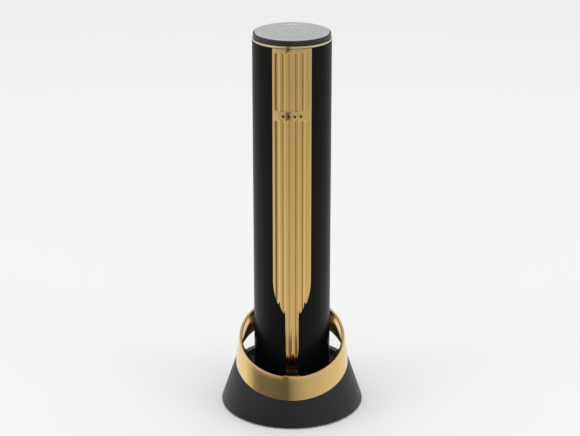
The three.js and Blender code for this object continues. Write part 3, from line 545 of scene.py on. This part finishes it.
def circuit_board():
    """Green solder mask with paler tracks."""
    shader = Shader("circuit_board", Metallic=0.0, Coat_Weight=0.3)
    track = shader.node("ShaderNodeTexWave", {"wave_type": "BANDS", "bands_direction": "DIAGONAL"},
                        Vector=shader.place(), Scale=260, Distortion=4.0, output="Fac").above(0.8)
    shader.feed("Base Color", shader.mix(track, colour(0.01, 0.11, 0.045), colour(0.03, 0.24, 0.10)))
    shader.feed("Roughness", 0.35 + 0.1 * track)
    shader.bump(track, 0.03 * MM)
    return shader.material


def touch_glass():
    """Grey glossy disc, printed from behind: a fine circle round the touch point and a row of charge pips,
    with a painted highlight round its edge.
    """
    base = tuple(finishes().touch)
    shader = Shader("touch_glass", Metallic=0.0, Specular_IOR_Level=0.5)
    x, y, _ = shader.axes()
    away = (x * x + y * y).power(0.5)
    circle = (away - 9.0 * MM).abs().below(0.22 * MM)
    gap = (x.abs()).below(1.1 * MM) * y.above(0.0)
    stem = x.abs().below(0.25 * MM) * (y - 8.2 * MM).abs().below(2.2 * MM)
    icon = (circle * (1 - gap) + stem).clamped()
    pip_row = (y - 16.4 * MM).abs().below(0.85 * MM) * x.abs().below(5.6 * MM)
    pip_gap = shader.node("ShaderNodeMath", {"operation": "PINGPONG"}, x, 1.4 * MM)
    pips = pip_row * pip_gap.above(0.35 * MM)
    # Painted highlight: a lighter ring painted along the disc's rounded edge.
    edge_painted_highlight = away.above(DISC_EDGE)
    cloud = shader.noise(30, 2)
    plain = shader.mix(cloud, shade(base, -0.03), shade(base, 0.03))
    # The printed marks and the painted edge highlight are mixed towards a pale grey.
    lit = shader.mix((icon * 0.55 + pips * 0.8 + edge_painted_highlight * 0.35).clamped(), plain, colour(0.78, 0.78, 0.79))
    shader.feed("Base Color", lit)
    shader.feed("Roughness", 0.10 + 0.05 * cloud)
    return shader.material


DISC_EDGE = high("touch_disc").x - 0.5 * MM

FINISH_OF = {}


def finish_for(slot_name):
    """The material of one of the record's slots, made once."""
    makers = {
        "gold": polished_gold,
        "body_black": black_lacquer,
        "base_black": spark_black,
        "cap_black": lambda: moulded("cap_black", colour(0.012, 0.012, 0.013), 0.3, 3000),
        "touch_glass": touch_glass,
        "steel": lambda: machined("turned_steel", colour(0.56, 0.57, 0.59)),
        "worm_steel": lambda: machined("polished_worm", colour(0.72, 0.72, 0.74), 0.14, (1, 1, 1)),
        "rubber": rubber,
        "grey_plastic": lambda: moulded("grey_plastic", colour(0.045, 0.047, 0.05)),
        "nylon": lambda: moulded("natural_nylon", colour(0.62, 0.60, 0.52), 0.45),
        "brass": lambda: machined("machined_brass", colour(0.66, 0.47, 0.20), 0.3),
        "board": circuit_board,
        "cell_wrap": lambda: moulded("cell_wrap", colour(0.02, 0.12, 0.32), 0.3, 600),
        "clear": lambda: moulded("smoked_light_guide", colour(0.030, 0.024, 0.018), 0.25, 300),
    }
    if slot_name not in FINISH_OF:
        FINISH_OF[slot_name] = makers[slot_name]()
    return FINISH_OF[slot_name]


def dress(piece, slot_name, body, *nodes):
    """Gives a piece its finish, sets it on its body and lets it stand for its CAD nodes."""
    piece.data.materials.clear()
    piece.data.materials.append(finish_for(slot_name))
    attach(piece, body)
    if nodes:
        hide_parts(*nodes)
    return piece


# -------------------- the opener's shells

def stadium(name, wide, tall, deep, middle):
    """A closed slot shape: a rectangle with round ends in x and z, drawn along y."""
    t = np.linspace(0, FULL, 48, endpoint=False)
    x = np.cos(t) * tall / 2 + np.sign(np.cos(t)) * (wide - tall) / 2
    z = np.sin(t) * tall / 2
    rows = []
    for y, share in ((-deep / 2, 0), (-deep / 2, 1), (deep / 2, 1), (deep / 2, 0)):
        rows.append(np.stack(
            [middle[0] + x * share, np.full_like(x, middle[1] + y), middle[2] + z * share], -1))
    return tidy(grid_piece(name, np.stack(rows), False, True))


def make_tube():
    """The black tube, with the charging slot in its back and the panel's pocket in its front."""
    inner = TUBE_R - 2 * MM
    outline = rounded(
        [(inner, TUBE_LOW), (TUBE_R, TUBE_LOW), (TUBE_R, TUBE_TOP), (inner, TUBE_TOP)], sizes().edge)
    tube = turned("black_tube", outline, 256)
    port_low, port_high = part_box("charge_port")
    middle = (port_low + port_high) / 2
    size = port_high - port_low
    slot_tool = stadium(
        "slot_tool", size.x + 0.8 * MM, size.z + 0.8 * MM, 6 * MM, (middle.x, TUBE_R, middle.z))
    cut_away(tube, slot_tool)
    cut_away(tube, panel_pocket())
    crisp(tube)
    dress(tube, "body_black", "opener", "body_tube")


def make_port():
    """The charging socket: a stadium-shaped metal shell with its contact tongue."""
    port_low, port_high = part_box("charge_port")
    size, middle = port_high - port_low, (port_low + port_high) / 2
    shell = stadium("charging_socket", size.x, size.z, size.y, middle)
    hollow = stadium("hollow_tool", size.x - 0.7 * MM, size.z - 0.7 * MM, size.y,
                     (middle.x, middle.y + 1.2 * MM, middle.z))
    cut_away(shell, hollow)
    crisp(shell)
    dress(shell, "steel", "opener", "charge_port")
    tongue = stadium("socket_tongue", size.x - 3 * MM, 0.7 * MM, size.y - 2 * MM, middle)
    crisp(tongue)
    dress(tongue, "grey_plastic", "opener")


def make_mouth():
    """The ring round the mouth, with its rounded lip and three countersunk screw holes."""
    ring_low, ring_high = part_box("mouth_ring")
    outline = rounded([
        (MOUTH_R, ring_low.z), (ring_high.x, ring_low.z),
        (ring_high.x, ring_high.z), (MOUTH_R, ring_high.z),
    ], (0.9 * MM, 0.7 * MM, 0.1 * MM, 0.1 * MM))
    ring = turned("mouth_ring_fine", outline, 192)
    under, over = ring_low.z - MM, ring_high.z + MM
    for number in (1, 2, 3):
        screw_low, screw_high, middle = box_and_axis(f"mouth_screw_{number}")
        head = (screw_high.y - screw_low.y) / 2 + ROOM
        shank = head - HEAD_STEP
        seat = screw_low.z + HEAD_T
        cut_away(ring, solid_turned("screw_tool", [
            (0, under), (head, under), (head, seat), (shank, seat), (shank, over), (0, over)], 32, middle))
    crisp(ring)
    dress(ring, "body_black", "opener", "mouth_ring")


# -------------------- the fluted panel

TIPS = {"outer": 74.8 * MM, "second": 68.9 * MM}
OUTER_TIP = 2.5
# The lower outline up to the outer tips: flute widths from the middle, and height in metres.
LOW_OUTLINE = np.array([
    (0, PANEL_LOW), (1.14, PANEL_LOW), (1.16, 0.0655), (1.26, 0.0711), (1.5, TIPS["second"]),
    (2.08, 0.0734), (2.2, 0.0770), (OUTER_TIP, TIPS["outer"])])
SIDE_RISE = 15 * MM


def panel_low_edge(arc):
    """Height of the panel's lower outline at an arc length from its middle.

    The sides curve in, the outer two pairs of flutes end in points, and the middle pair runs on."""
    half, flute = sizes().panel_half, sizes().flute_width
    s = np.abs(arc)
    inner = np.interp(s, LOW_OUTLINE[:, 0] * flute, LOW_OUTLINE[:, 1])
    t = np.clip((s - OUTER_TIP * flute) / (half - OUTER_TIP * flute), 0, 1)
    curve = TIPS["outer"] + SIDE_RISE * (1 - (1 - t**1.25) ** 0.62)
    return np.where(s <= OUTER_TIP * flute, inner, curve)


def flute_depth_at(arc, z):
    """Depth of the flutes below the lands.

    Across a flute, with t from -1 to 1, the section is mostly the arc 1 - t * t, eased towards the square of
    cos(t pi / 2) so that the ridges are round. Along it the depth fades out in a pointed arch, at the top and
    on both sides of the plain band."""
    sheet = sizes()
    t = (np.abs(arc) / sheet.flute_width) % 1 * 2 - 1
    section = 0.7 * (1 - t * t) + 0.3 * np.cos(t * math.pi / 2) ** 2
    section = section * (np.abs(arc) < 3 * sheet.flute_width)
    arch = sheet.flute_arch * np.abs(t) ** 1.6
    rise = 0.7 * MM
    below_top = smooth_step(FLUTE_TOP - z - arch, 0, rise)
    beside = np.where(z > LAMP_Z, z - BAND_TOP, BAND_LOW - z)
    off_band = smooth_step(beside - 0.4 * arch, 0, 2.5 * rise)
    return sheet.flute_depth * section * below_top * off_band


FLUTE_TOP = 236.2 * MM
BAND_TOP = 198.9 * MM
BAND_LOW = 194.9 * MM
LAMP_Z = (low("light_guide").z + high("light_guide").z) / 2


def panel_grid(depth_at, margin=0.0, floor_margin=0.0):
    """Points of the panel's skin on an (arc length, height) grid.

    Radius is the tube's plus the value of depth_at; x = r sin(s / R), y = -r cos(s / R). Rows above
    STRAIGHT_Z are level, and the rows below it are shared out down to the lower outline."""
    sheet = sizes()
    flute, half = sheet.flute_width, sheet.panel_half + margin
    inside = np.linspace(-3 * flute, 3 * flute, 6 * 14 + 1)
    knots = np.array([1.14, 1.16, 1.26, 2.08, 2.2]) * flute
    sides = np.linspace(3 * flute, half, 9)[1:]
    arc = np.unique(np.concatenate([inside, knots, -knots, sides, -sides]).round(9))
    bottom = panel_low_edge(np.clip(arc, -sheet.panel_half, sheet.panel_half)) - floor_margin
    upper = PANEL_TOP + margin - np.cumsum([0, *level_steps()])
    upper = np.append(upper[upper > STRAIGHT_Z], STRAIGHT_Z)
    share = np.linspace(0, 1, 46)[1:, None]
    z = np.concatenate([
        np.broadcast_to(upper[:, None], (len(upper), len(arc))),
        STRAIGHT_Z - share * (STRAIGHT_Z - bottom[None, :])])
    s = np.broadcast_to(arc, z.shape)
    r = TUBE_R + depth_at(s, z)
    angle = s / TUBE_R
    return np.stack([r * np.sin(angle), -r * np.cos(angle), z], -1)


def level_steps():
    """Row heights down the straight part: fine where the flutes end, coarse between."""
    fine, coarse = 0.28 * MM, 2.2 * MM
    return np.concatenate([
        np.full(36, fine), np.full(12, coarse), np.full(58, fine), np.full(40, coarse)])


def closed_shell(name, outer, inner):
    """A closed solid between two equal grids: both skins and the four edge strips."""
    rows, columns, _ = outer.shape
    front = grid_faces(rows, columns, False, False)
    back = front[:, ::-1] + rows * columns
    index = np.arange(rows * columns).reshape(rows, columns)
    rim = np.concatenate([index[0, :-1], index[:-1, -1], index[-1, :0:-1], index[:0:-1, 0]])
    after = np.roll(rim, -1)
    walls = np.stack([rim, after, after + rows * columns, rim + rows * columns], -1)
    points = np.concatenate([outer.reshape(-1, 3), inner.reshape(-1, 3)])
    return tidy(shape_from(name, points, np.concatenate([front, back, walls])))


STRAIGHT_Z = 150 * MM
POCKET = 1.3 * MM


def panel_pocket():
    """The closed shape that is taken out of the tube where the panel lies."""
    margin = 0.03 * MM
    outer = panel_grid(lambda s, z: np.full(z.shape, 1.0 * MM), margin, margin)
    inner = panel_grid(lambda s, z: np.full(z.shape, -POCKET), margin, margin)
    return closed_shell("panel_pocket", outer, inner)


def make_panel():
    """The gold panel: fluted skin, flat back and square edges."""
    sheet = sizes()
    proud = sheet.panel_proud

    def face(s, z):
        return proud - flute_depth_at(s, z)

    outer = panel_grid(face)
    inner = panel_grid(lambda s, z: np.full(z.shape, 0.02 * MM - POCKET))
    panel = closed_shell("fluted_panel", outer, inner)
    for step in (-1.5, -0.5, 0.5, 1.5):
        cut_away(panel, lamp_tool(step * sheet.flute_width / TUBE_R, sheet.lamp_radius))
    crisp(panel, 55)
    dress(panel, "gold", "opener", "front_panel")


def lamp_tool(angle, radius):
    """A round bar that points out through the front at one lamp."""
    t = np.linspace(0, FULL, 24, endpoint=False)
    out = np.array([math.sin(angle), -math.cos(angle), 0])
    across = np.array([math.cos(angle), math.sin(angle), 0])
    up = np.array([0, 0, 1.0])
    rim = np.cos(t)[:, None] * across + np.sin(t)[:, None] * up
    rows = []
    for reach, share in ((TUBE_R - 2 * MM, 0), (TUBE_R - 2 * MM, 1), (TUBE_R + MM, 1), (TUBE_R + MM, 0)):
        rows.append(out * reach + up * LAMP_Z + rim * radius * share)
    return tidy(grid_piece("lamp_tool", np.stack(rows), False, True))


# -------------------- the cap

def make_cap():
    """Trim ring, black cap ring and grey touch disc."""
    edge = sizes().edge
    trim_low, trim_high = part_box("trim_ring")
    outline = rounded([
        (trim_high.x - 2 * MM, trim_low.z), (trim_high.x, trim_low.z), (trim_high.x, trim_high.z),
        (trim_high.x - 2 * MM, trim_high.z)], (0, 0.35 * MM, 0.35 * MM, 0))
    dress(turned("gold_trim_ring", outline, 256), "gold", "opener", "trim_ring")
    cap_low, cap_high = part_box("cap_ring")
    disc_low, disc_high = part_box("touch_disc")
    skirt_out = TUBE_R - 2.3 * MM
    skirt_in = skirt_out - 1.5 * MM
    base = trim_high.z + 0.3 * MM
    seat = disc_low.z - 0.3 * MM
    well = disc_high.x + 0.12 * MM
    outline = rounded([
        (skirt_in, cap_low.z), (skirt_out, cap_low.z), (skirt_out, base - 0.4 * MM), (cap_high.x, base),
        (cap_high.x, cap_high.z), (well, cap_high.z), (well, seat), (skirt_in, seat),
    ], (0.1 * MM, 0.1 * MM, 0.1 * MM, edge, 0.42 * MM, 0.15 * MM, 0.1 * MM, 0.1 * MM))
    dress(turned("black_cap_ring", outline, 256), "cap_black", "opener", "cap_ring")
    disc_outline = rounded([
        (0, disc_low.z), (disc_high.x, disc_low.z), (disc_high.x, disc_high.z), (0, disc_high.z),
    ], (0, 0.2 * MM, 0.35 * MM, 0))
    dress(solid_turned("grey_touch_disc", disc_outline, 256), "touch_glass", "opener", "touch_disc")


# -------------------- the holder


def cone_r(z):
    """Radius of the holder's cone at a height."""
    return CONE_FOOT_R - CONE_SLOPE * z


def slanted_circle(angle, radius, taper, tilt, z):
    """Radius and height of a slanted circle on a cone, at an angle from the front."""
    r = radius / (1 - taper * tilt * np.cos(angle))
    return r, z - tilt * r * np.cos(angle)


def band_low(angle):
    """The band's lower edge: a slanted circle half a millimetre outside the cone."""
    level = 31.46 * MM
    return slanted_circle(angle, cone_r(level) + 0.5 * MM, CONE_SLOPE, 0.351, level)


def band_top(angle):
    """The band's upper edge."""
    return slanted_circle(angle, 32.9 * MM, 0.417, 0.4, 49.1 * MM)


def smooth_step(value, start, end):
    """0 before start, 1 after end, and t * t * (3 - 2 t) between."""
    t = np.clip((value - start) / (end - start), 0, 1)
    return t * t * (3 - 2 * t)


def shaped_turn(name, outline_at, count=288):
    """A ring whose (r, z) section changes with the angle from the front: x = r sin a, y = -r cos a."""
    angle = np.linspace(0, FULL, count, endpoint=False)
    r, z = outline_at(angle)
    points = np.stack([r * np.sin(angle), -r * np.cos(angle), z], -1)
    return pointing_out(grid_piece(name, points, True, True))


def make_band():
    """The tilted gold band: a straight wall between two slanted circles, with rounded edges."""
    thick, corner, edge = 2 * MM, 0.45 * MM, 0.35 * MM

    def section(angle):
        (low_r, low_z), (top_r, top_z) = band_low(angle), band_top(angle)
        turn = np.linspace(0, math.pi / 2, 7)
        parts = []
        corners = (
            (low_r, low_z, -1, edge), (top_r, top_z, 0, corner),
            (top_r - thick, top_z, 1, corner), (low_r - thick, low_z, 2, edge))
        for r, z, quarter, radius in corners:
            start = quarter * math.pi / 2
            a = start + turn[:, None]
            side_r = -1 if quarter in (-1, 0) else 1
            side_z = 1 if quarter in (-1, 2) else -1
            parts.append((r + side_r * radius + radius * np.cos(a), z + side_z * radius + radius * np.sin(a)))
        return np.concatenate([p[0] for p in parts]), np.concatenate([p[1] for p in parts])

    dress(shaped_turn("tilted_gold_band", section), "gold", "holder", "tilt_band")


def rim_height(angle):
    """Height of the holder's rim: it follows the band round the front and drops at the back."""
    wrapped = np.degrees(np.abs((angle + math.pi) % FULL - math.pi))
    _, band_z = band_low(angle)
    raised = np.maximum(RIM_Z, band_z - 0.05 * MM)
    return raised + (RIM_Z - raised) * smooth_step(wrapped, 100, 125)


def make_base():
    """The cone-shaped moulding: cone, rim, dish, the well that the opener stands in and the hollow below.

    The section runs from the axis along the well's floor from below, out under the dish to the wall, down to
    the cover's recess and round the outside back to the axis. Three bosses below the dish take the screws."""
    well_r = TUBE_R + 0.8 * MM
    cover_z = low("bottom_cover").z
    cover_r = high("bottom_cover").x + ROOM
    cover_top = high("bottom_cover").z + ROOM
    well_z = low("socket_pad").z - ROOM
    under, ceiling = well_z - FLOOR_T, DISH_Z - FLOOR_T

    def section(angle):
        top = rim_height(angle)
        corners = [
            (0, under, 0), (well_r + FLOOR_T, under, 0.8), (well_r + FLOOR_T, ceiling, 0.8),
            (DISH_R, ceiling, 1.5), (cover_r - MM, cover_top, 0.3), (cover_r, cover_top, 0.1),
            (cover_r, cover_z, 0.2), (cone_r(cover_z), cover_z, 0.9),
            (None, top, 0.7), (DISH_R, top, 0.9), (DISH_R, DISH_Z, 2.2),
            (well_r, DISH_Z, 1.0), (well_r, well_z, 0.3), (0, well_z, 0),
        ]
        columns_r, columns_z = [], []
        count = len(corners)
        ones = np.ones_like(angle)
        flat = [((cone_r(z) if r is None else r) * ones, z * ones, e * MM) for r, z, e in corners]
        for k in range(count):
            r, z = fillet(flat[k - 1], flat[k], flat[(k + 1) % count], flat[k][2])
            columns_r.append(r)
            columns_z.append(z)
        return np.concatenate(columns_r), np.concatenate(columns_z)

    dress(tidy(shaped_turn("holder_moulding", section)), "base_black", "holder", "base_shell")
    boss_low = high("base_weight").z + ROOM
    for number in (1, 2, 3):
        _, _, middle = box_and_axis(f"cover_screw_{number}")
        outline = [(BOSS_BORE_R, boss_low), (BOSS_R, boss_low), (BOSS_R, ceiling), (BOSS_BORE_R, ceiling)]
        boss = crisp(turned(f"cover_boss_{number}", outline, 32, middle))
        dress(boss, "base_black", "holder")


def fillet(before, here, after, radius, steps=6):
    """Rounds a corner whose place changes with the angle: a quadratic curve between its two sides."""
    if radius == 0:
        return here[0][None], here[1][None]
    a = np.stack([before[0] - here[0], before[1] - here[1]])
    b = np.stack([after[0] - here[0], after[1] - here[1]])
    reach_a, reach_b = np.linalg.norm(a, axis=0), np.linalg.norm(b, axis=0)
    setback = np.minimum(radius, 0.45 * np.minimum(reach_a, reach_b))
    start = np.stack(here[:2]) + a / reach_a * setback
    end = np.stack(here[:2]) + b / reach_b * setback
    t = np.linspace(0, 1, steps)[:, None, None]
    curve = (1 - t) ** 2 * start + 2 * t * (1 - t) * np.stack(here[:2]) + t**2 * end
    return curve[:, 0], curve[:, 1]


def make_foot():
    """The plain rubber foot ring, and the pad in the well."""
    foot_low, foot_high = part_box("foot_ring")
    inner, outer = 35 * MM, foot_high.x
    outline = rounded([(inner, foot_low.z), (outer, foot_low.z), (outer, foot_high.z), (inner, foot_high.z)],
                      0.4 * MM)
    dress(turned("rubber_foot_ring", outline, 192), "rubber", "holder", "foot_ring")
    pad_low, pad_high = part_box("socket_pad")
    outline = rounded([(0, pad_low.z), (pad_high.x, pad_low.z), (pad_high.x, pad_high.z), (0, pad_high.z)],
                      (0, 0.3 * MM, 0.3 * MM, 0))
    dress(solid_turned("rubber_socket_pad", outline, 128), "rubber", "holder", "socket_pad")


# -------------------- the worm

def make_worm():
    """The corkscrew: a round wire along a right-handed helix that ends in a sharpened point."""
    worm_low, worm_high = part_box("worm")
    lead, coil_r, wire_r = 9 * MM, 3.2 * MM, 1.35 * MM
    coil_top = low("worm_carriage").z - 3 * MM
    z = np.linspace(worm_low.z, worm_high.z, 420)
    angle = FULL * (z - worm_low.z) / lead
    lean = smooth_step(z, coil_top - lead / 2, coil_top + MM)
    radius = coil_r * (1 - lean)
    size = wire_r * (0.08 + 0.92 * smooth_step(z, worm_low.z - 0.2 * MM, worm_low.z + 0.7 * lead))
    out = np.stack([np.cos(angle), np.sin(angle), np.zeros_like(z)], -1)
    along = np.stack([-np.sin(angle) * radius, np.cos(angle) * radius, np.full_like(z, lead / FULL)], -1)
    along /= np.linalg.norm(along, axis=1)[:, None]
    side = np.cross(along, out)
    centre = out * radius[:, None]
    centre[:, 2] = z
    t = np.linspace(0, FULL, 20, endpoint=False)
    ring = np.cos(t)[None, :, None] * out[:, None] + np.sin(t)[None, :, None] * side[:, None]
    points = centre[:, None] + ring * size[:, None, None]
    ends = [np.repeat(centre[k][None, None], 20, axis=1) for k in (0, -1)]
    points = np.concatenate([ends[0], points, ends[1]])
    dress(tidy(grid_piece("sharpened_worm", points, False, True)), "worm_steel", "worm_feed", "worm")


# -------------------- the studio

# Brightness of the reflector wall by compass angle, from straight behind round the left side, past the
# front in the middle, and on round the right side. The band looks at its foot, and the panel at the rest.
FOOT_TONES = (
    (-180, 0.92), (-97, 0.98), (-80, 0.60), (-70, 0.30), (-58, 0.20), (-14, 0.145), (-8, 0.13), (2, 0.33),
    (14, 0.48), (30, 0.60), (62, 0.72), (100, 0.86), (180, 0.92),
)
UPPER_TONES = (
    (-180, 0.75), (-95, 0.94), (-60, 0.92), (-34, 0.70), (-17, 0.56), (-13, 0.20), (-10, 0.12), (-7, 0.22),
    (-3, 0.58), (4, 0.66), (26, 0.70), (44, 0.70), (60, 0.84), (95, 0.90), (180, 0.75),
)


def compass_ramp(shader, compass, tones):
    """A grey by compass angle, from a table of (degrees, grey) pairs."""
    return shader.ramp(compass / FULL + 0.5, [(angle / 360 + 0.5, grey) for angle, grey in tones])


def make_reflector():
    """The lit wall that only the glossy finishes see: tall soft boxes with a dark gap beside the front.

    It is a cylinder round the object whose glow depends on the compass angle and on the height."""
    wall, sides = 0.12, 96
    angle = np.linspace(0, FULL, sides, endpoint=False)
    z = np.array([-0.3, 0.1, 0.5])
    shape = (len(z), sides)
    points = np.stack([
        np.broadcast_to(wall * np.sin(angle), shape), np.broadcast_to(-wall * np.cos(angle), shape),
        np.broadcast_to(z[:, None], shape)], -1)
    reflector = grid_piece("reflector_wall", points, False, True)
    shader = Shader("reflector_glow", Base_Color=colour(0, 0, 0), Roughness=1.0, Specular_IOR_Level=0.0,
                    Emission_Strength=1.0)
    px, py, pz = shader.axes()
    compass = shader.node("ShaderNodeMath", {"operation": "ARCTAN2"}, px, py * -1.0)
    foot, upper = compass_ramp(shader, compass, FOOT_TONES), compass_ramp(shader, compass, UPPER_TONES)
    share = shader.node(
        "ShaderNodeMapRange", {"interpolation_type": "SMOOTHSTEP"}, pz, 0.005, 0.014, 0.0, 1.0)
    fade = shader.node("ShaderNodeMapRange", {}, pz, 0.03, 0.19, 0.0, 0.26)
    shader.feed("Emission Color", shader.mix(fade, shader.mix(share, foot, upper), colour(0, 0, 0)))
    reflector.data.materials.append(shader.material)
    for kind in ("camera", "diffuse", "shadow", "transmission", "volume_scatter"):
        setattr(reflector, "visible_" + kind, False)


LAMPS = (   # name, place in metres, turn in degrees, width and height in metres
    ("left_lamp", (-0.9, -0.45, 0.5), (84, 0, -62), (0.5, 1.2)),
    ("right_lamp", (0.9, -0.5, 0.5), (84, 0, 60), (0.5, 1.2)),
    ("top_lamp", (0, 0.1, 1.5), (0, 0, 0), (1.2, 1.2)),
)


def area_light(name, place, turn, spread, power):
    """A rectangular lamp that neither the camera nor a reflection sees."""
    data = bpy.data.lights.new(name, "AREA")
    data.shape = "RECTANGLE"
    data.size, data.size_y = spread
    data.energy = power
    lamp = bpy.data.objects.new(name, data)
    bpy.context.scene.collection.objects.link(lamp)
    lamp.location = place
    lamp.rotation_euler = Euler([math.radians(part) for part in turn])
    lamp.visible_glossy = False
    lamp.visible_camera = False


def make_floor():
    """A pale floor that reaches far past every view: a disc of rings with x = r cos a, y = r sin a."""
    angle = np.linspace(0, FULL, 64, endpoint=False)
    r = np.array([0.0001, 0.5, 2, 8, 30])[:, None]
    points = np.stack([r * np.cos(angle), r * np.sin(angle), np.zeros((len(r), len(angle)))], -1)
    floor = grid_piece("pale_floor", points, False, True)
    shader = Shader("pale_floor", Metallic=0.0, Roughness=0.9, Specular_IOR_Level=0.0)
    cloud = shader.noise(6, 2)
    shader.feed("Base Color", shader.mix(cloud, colour(0.857, 0.864, 0.860), colour(0.863, 0.870, 0.866)))
    floor.data.materials.append(shader.material)
    floor.visible_glossy = False


def make_camera():
    """The camera, in front of the object and tilted down at it."""
    studio = bpy.context.scene.opener_studio
    data = bpy.data.cameras.new("camera")
    data.sensor_width = 36
    data.lens = studio.lens
    data.shift_x = -0.0034
    data.clip_end = 50
    camera = bpy.data.objects.new("camera", data)
    bpy.context.scene.collection.objects.link(camera)
    camera.location = (0, -studio.distance, studio.height)
    camera.rotation_euler = (math.pi / 2 - studio.tilt, 0, 0)
    bpy.context.scene.camera = camera


def make_lights():
    """An even room light and the three lamps."""
    studio = bpy.context.scene.opener_studio
    bpy.context.scene.view_settings.view_transform = "Standard"
    world = bpy.data.worlds.new("even_room")
    world.use_nodes = True
    background = world.node_tree.nodes["Background"]
    background.inputs["Color"].default_value = colour(0.955, 0.96, 0.96)
    background.inputs["Strength"].default_value = studio.world
    bpy.context.scene.world = world
    for lamp in LAMPS:
        area_light(*lamp, studio.key)


# -------------------- operators

class Maker:
    """What the operators share: they run once and finish."""

    bl_options = {"REGISTER", "UNDO"}


class OBJECT_OT_opener_tube(Maker, bpy.types.Operator):
    """Make the black tube, its charging socket and its mouth."""

    bl_idname = "wine_opener.tube"
    bl_label = "Tube and socket"

    def execute(self, context):
        make_tube()
        make_port()
        make_mouth()
        return {"FINISHED"}


class OBJECT_OT_opener_panel(Maker, bpy.types.Operator):
    """Make the fluted gold panel with its lamp holes."""

    bl_idname = "wine_opener.panel"
    bl_label = "Fluted panel"

    def execute(self, context):
        make_panel()
        return {"FINISHED"}


class OBJECT_OT_opener_cap(Maker, bpy.types.Operator):
    """Make the trim ring, the cap ring and the touch disc."""

    bl_idname = "wine_opener.cap"
    bl_label = "Cap and touch disc"

    def execute(self, context):
        make_cap()
        return {"FINISHED"}


class OBJECT_OT_opener_holder(Maker, bpy.types.Operator):
    """Make the holder's moulding, its rubber parts and the tilted band."""

    bl_idname = "wine_opener.holder"
    bl_label = "Holder and band"

    def execute(self, context):
        make_base()
        make_band()
        make_foot()
        return {"FINISHED"}


class OBJECT_OT_opener_worm(Maker, bpy.types.Operator):
    """Make the sharpened worm."""

    bl_idname = "wine_opener.worm"
    bl_label = "Worm"

    def execute(self, context):
        make_worm()
        return {"FINISHED"}


class OBJECT_OT_opener_finish(Maker, bpy.types.Operator):
    """Give every CAD node that stays the finish of its slot."""

    bl_idname = "wine_opener.finish"
    bl_label = "Finishes of the inner parts"

    def execute(self, context):
        for row in frame["record"]["subparts"]:
            node = frame["nodes"][row["node"]]
            node.data.materials.clear()
            node.data.materials.append(finish_for(row["material_slot"]))
        return {"FINISHED"}


class OBJECT_OT_opener_stage(Maker, bpy.types.Operator):
    """Set up the camera, the floor, the reflector wall and the lamps."""

    bl_idname = "wine_opener.stage"
    bl_label = "Studio"

    def execute(self, context):
        make_camera()
        make_floor()
        make_reflector()
        make_lights()
        return {"FINISHED"}


class VIEW3D_PT_wine_opener(bpy.types.Panel):
    """Lists the operators and the settings in the sidebar."""

    bl_idname = "VIEW3D_PT_wine_opener"
    bl_label = "Wine opener"
    bl_space_type = "VIEW_3D"
    bl_region_type = "UI"
    bl_category = "Wine opener"

    def draw(self, context):
        for maker in MAKERS:
            self.layout.operator(maker.bl_idname)
        for group in ("opener_sizes", "opener_finish", "opener_studio"):
            settings = getattr(context.scene, group)
            for name in settings.__annotations__:
                self.layout.prop(settings, name)


MAKERS = (
    OBJECT_OT_opener_stage, OBJECT_OT_opener_tube, OBJECT_OT_opener_panel, OBJECT_OT_opener_cap,
    OBJECT_OT_opener_holder, OBJECT_OT_opener_worm, OBJECT_OT_opener_finish,
)
GROUPS = {"opener_sizes": OpenerSizes, "opener_finish": OpenerFinish, "opener_studio": StudioSettings}


def register():
    for group in GROUPS.values():
        bpy.utils.register_class(group)
    for name, group in GROUPS.items():
        setattr(bpy.types.Scene, name, bpy.props.PointerProperty(type=group))
    for maker in (*MAKERS, VIEW3D_PT_wine_opener):
        bpy.utils.register_class(maker)


def unregister():
    for maker in reversed((*MAKERS, VIEW3D_PT_wine_opener)):
        bpy.utils.unregister_class(maker)
    for name in GROUPS:
        delattr(bpy.types.Scene, name)
    for group in reversed(GROUPS.values()):
        bpy.utils.unregister_class(group)


def main():
    """Builds everything in order."""
    register()
    bpy.ops.wine_opener.stage()
    bpy.ops.wine_opener.tube()
    bpy.ops.wine_opener.panel()
    bpy.ops.wine_opener.cap()
    bpy.ops.wine_opener.holder()
    bpy.ops.wine_opener.worm()
    bpy.ops.wine_opener.finish()


if __name__ == "__main__":
    main()
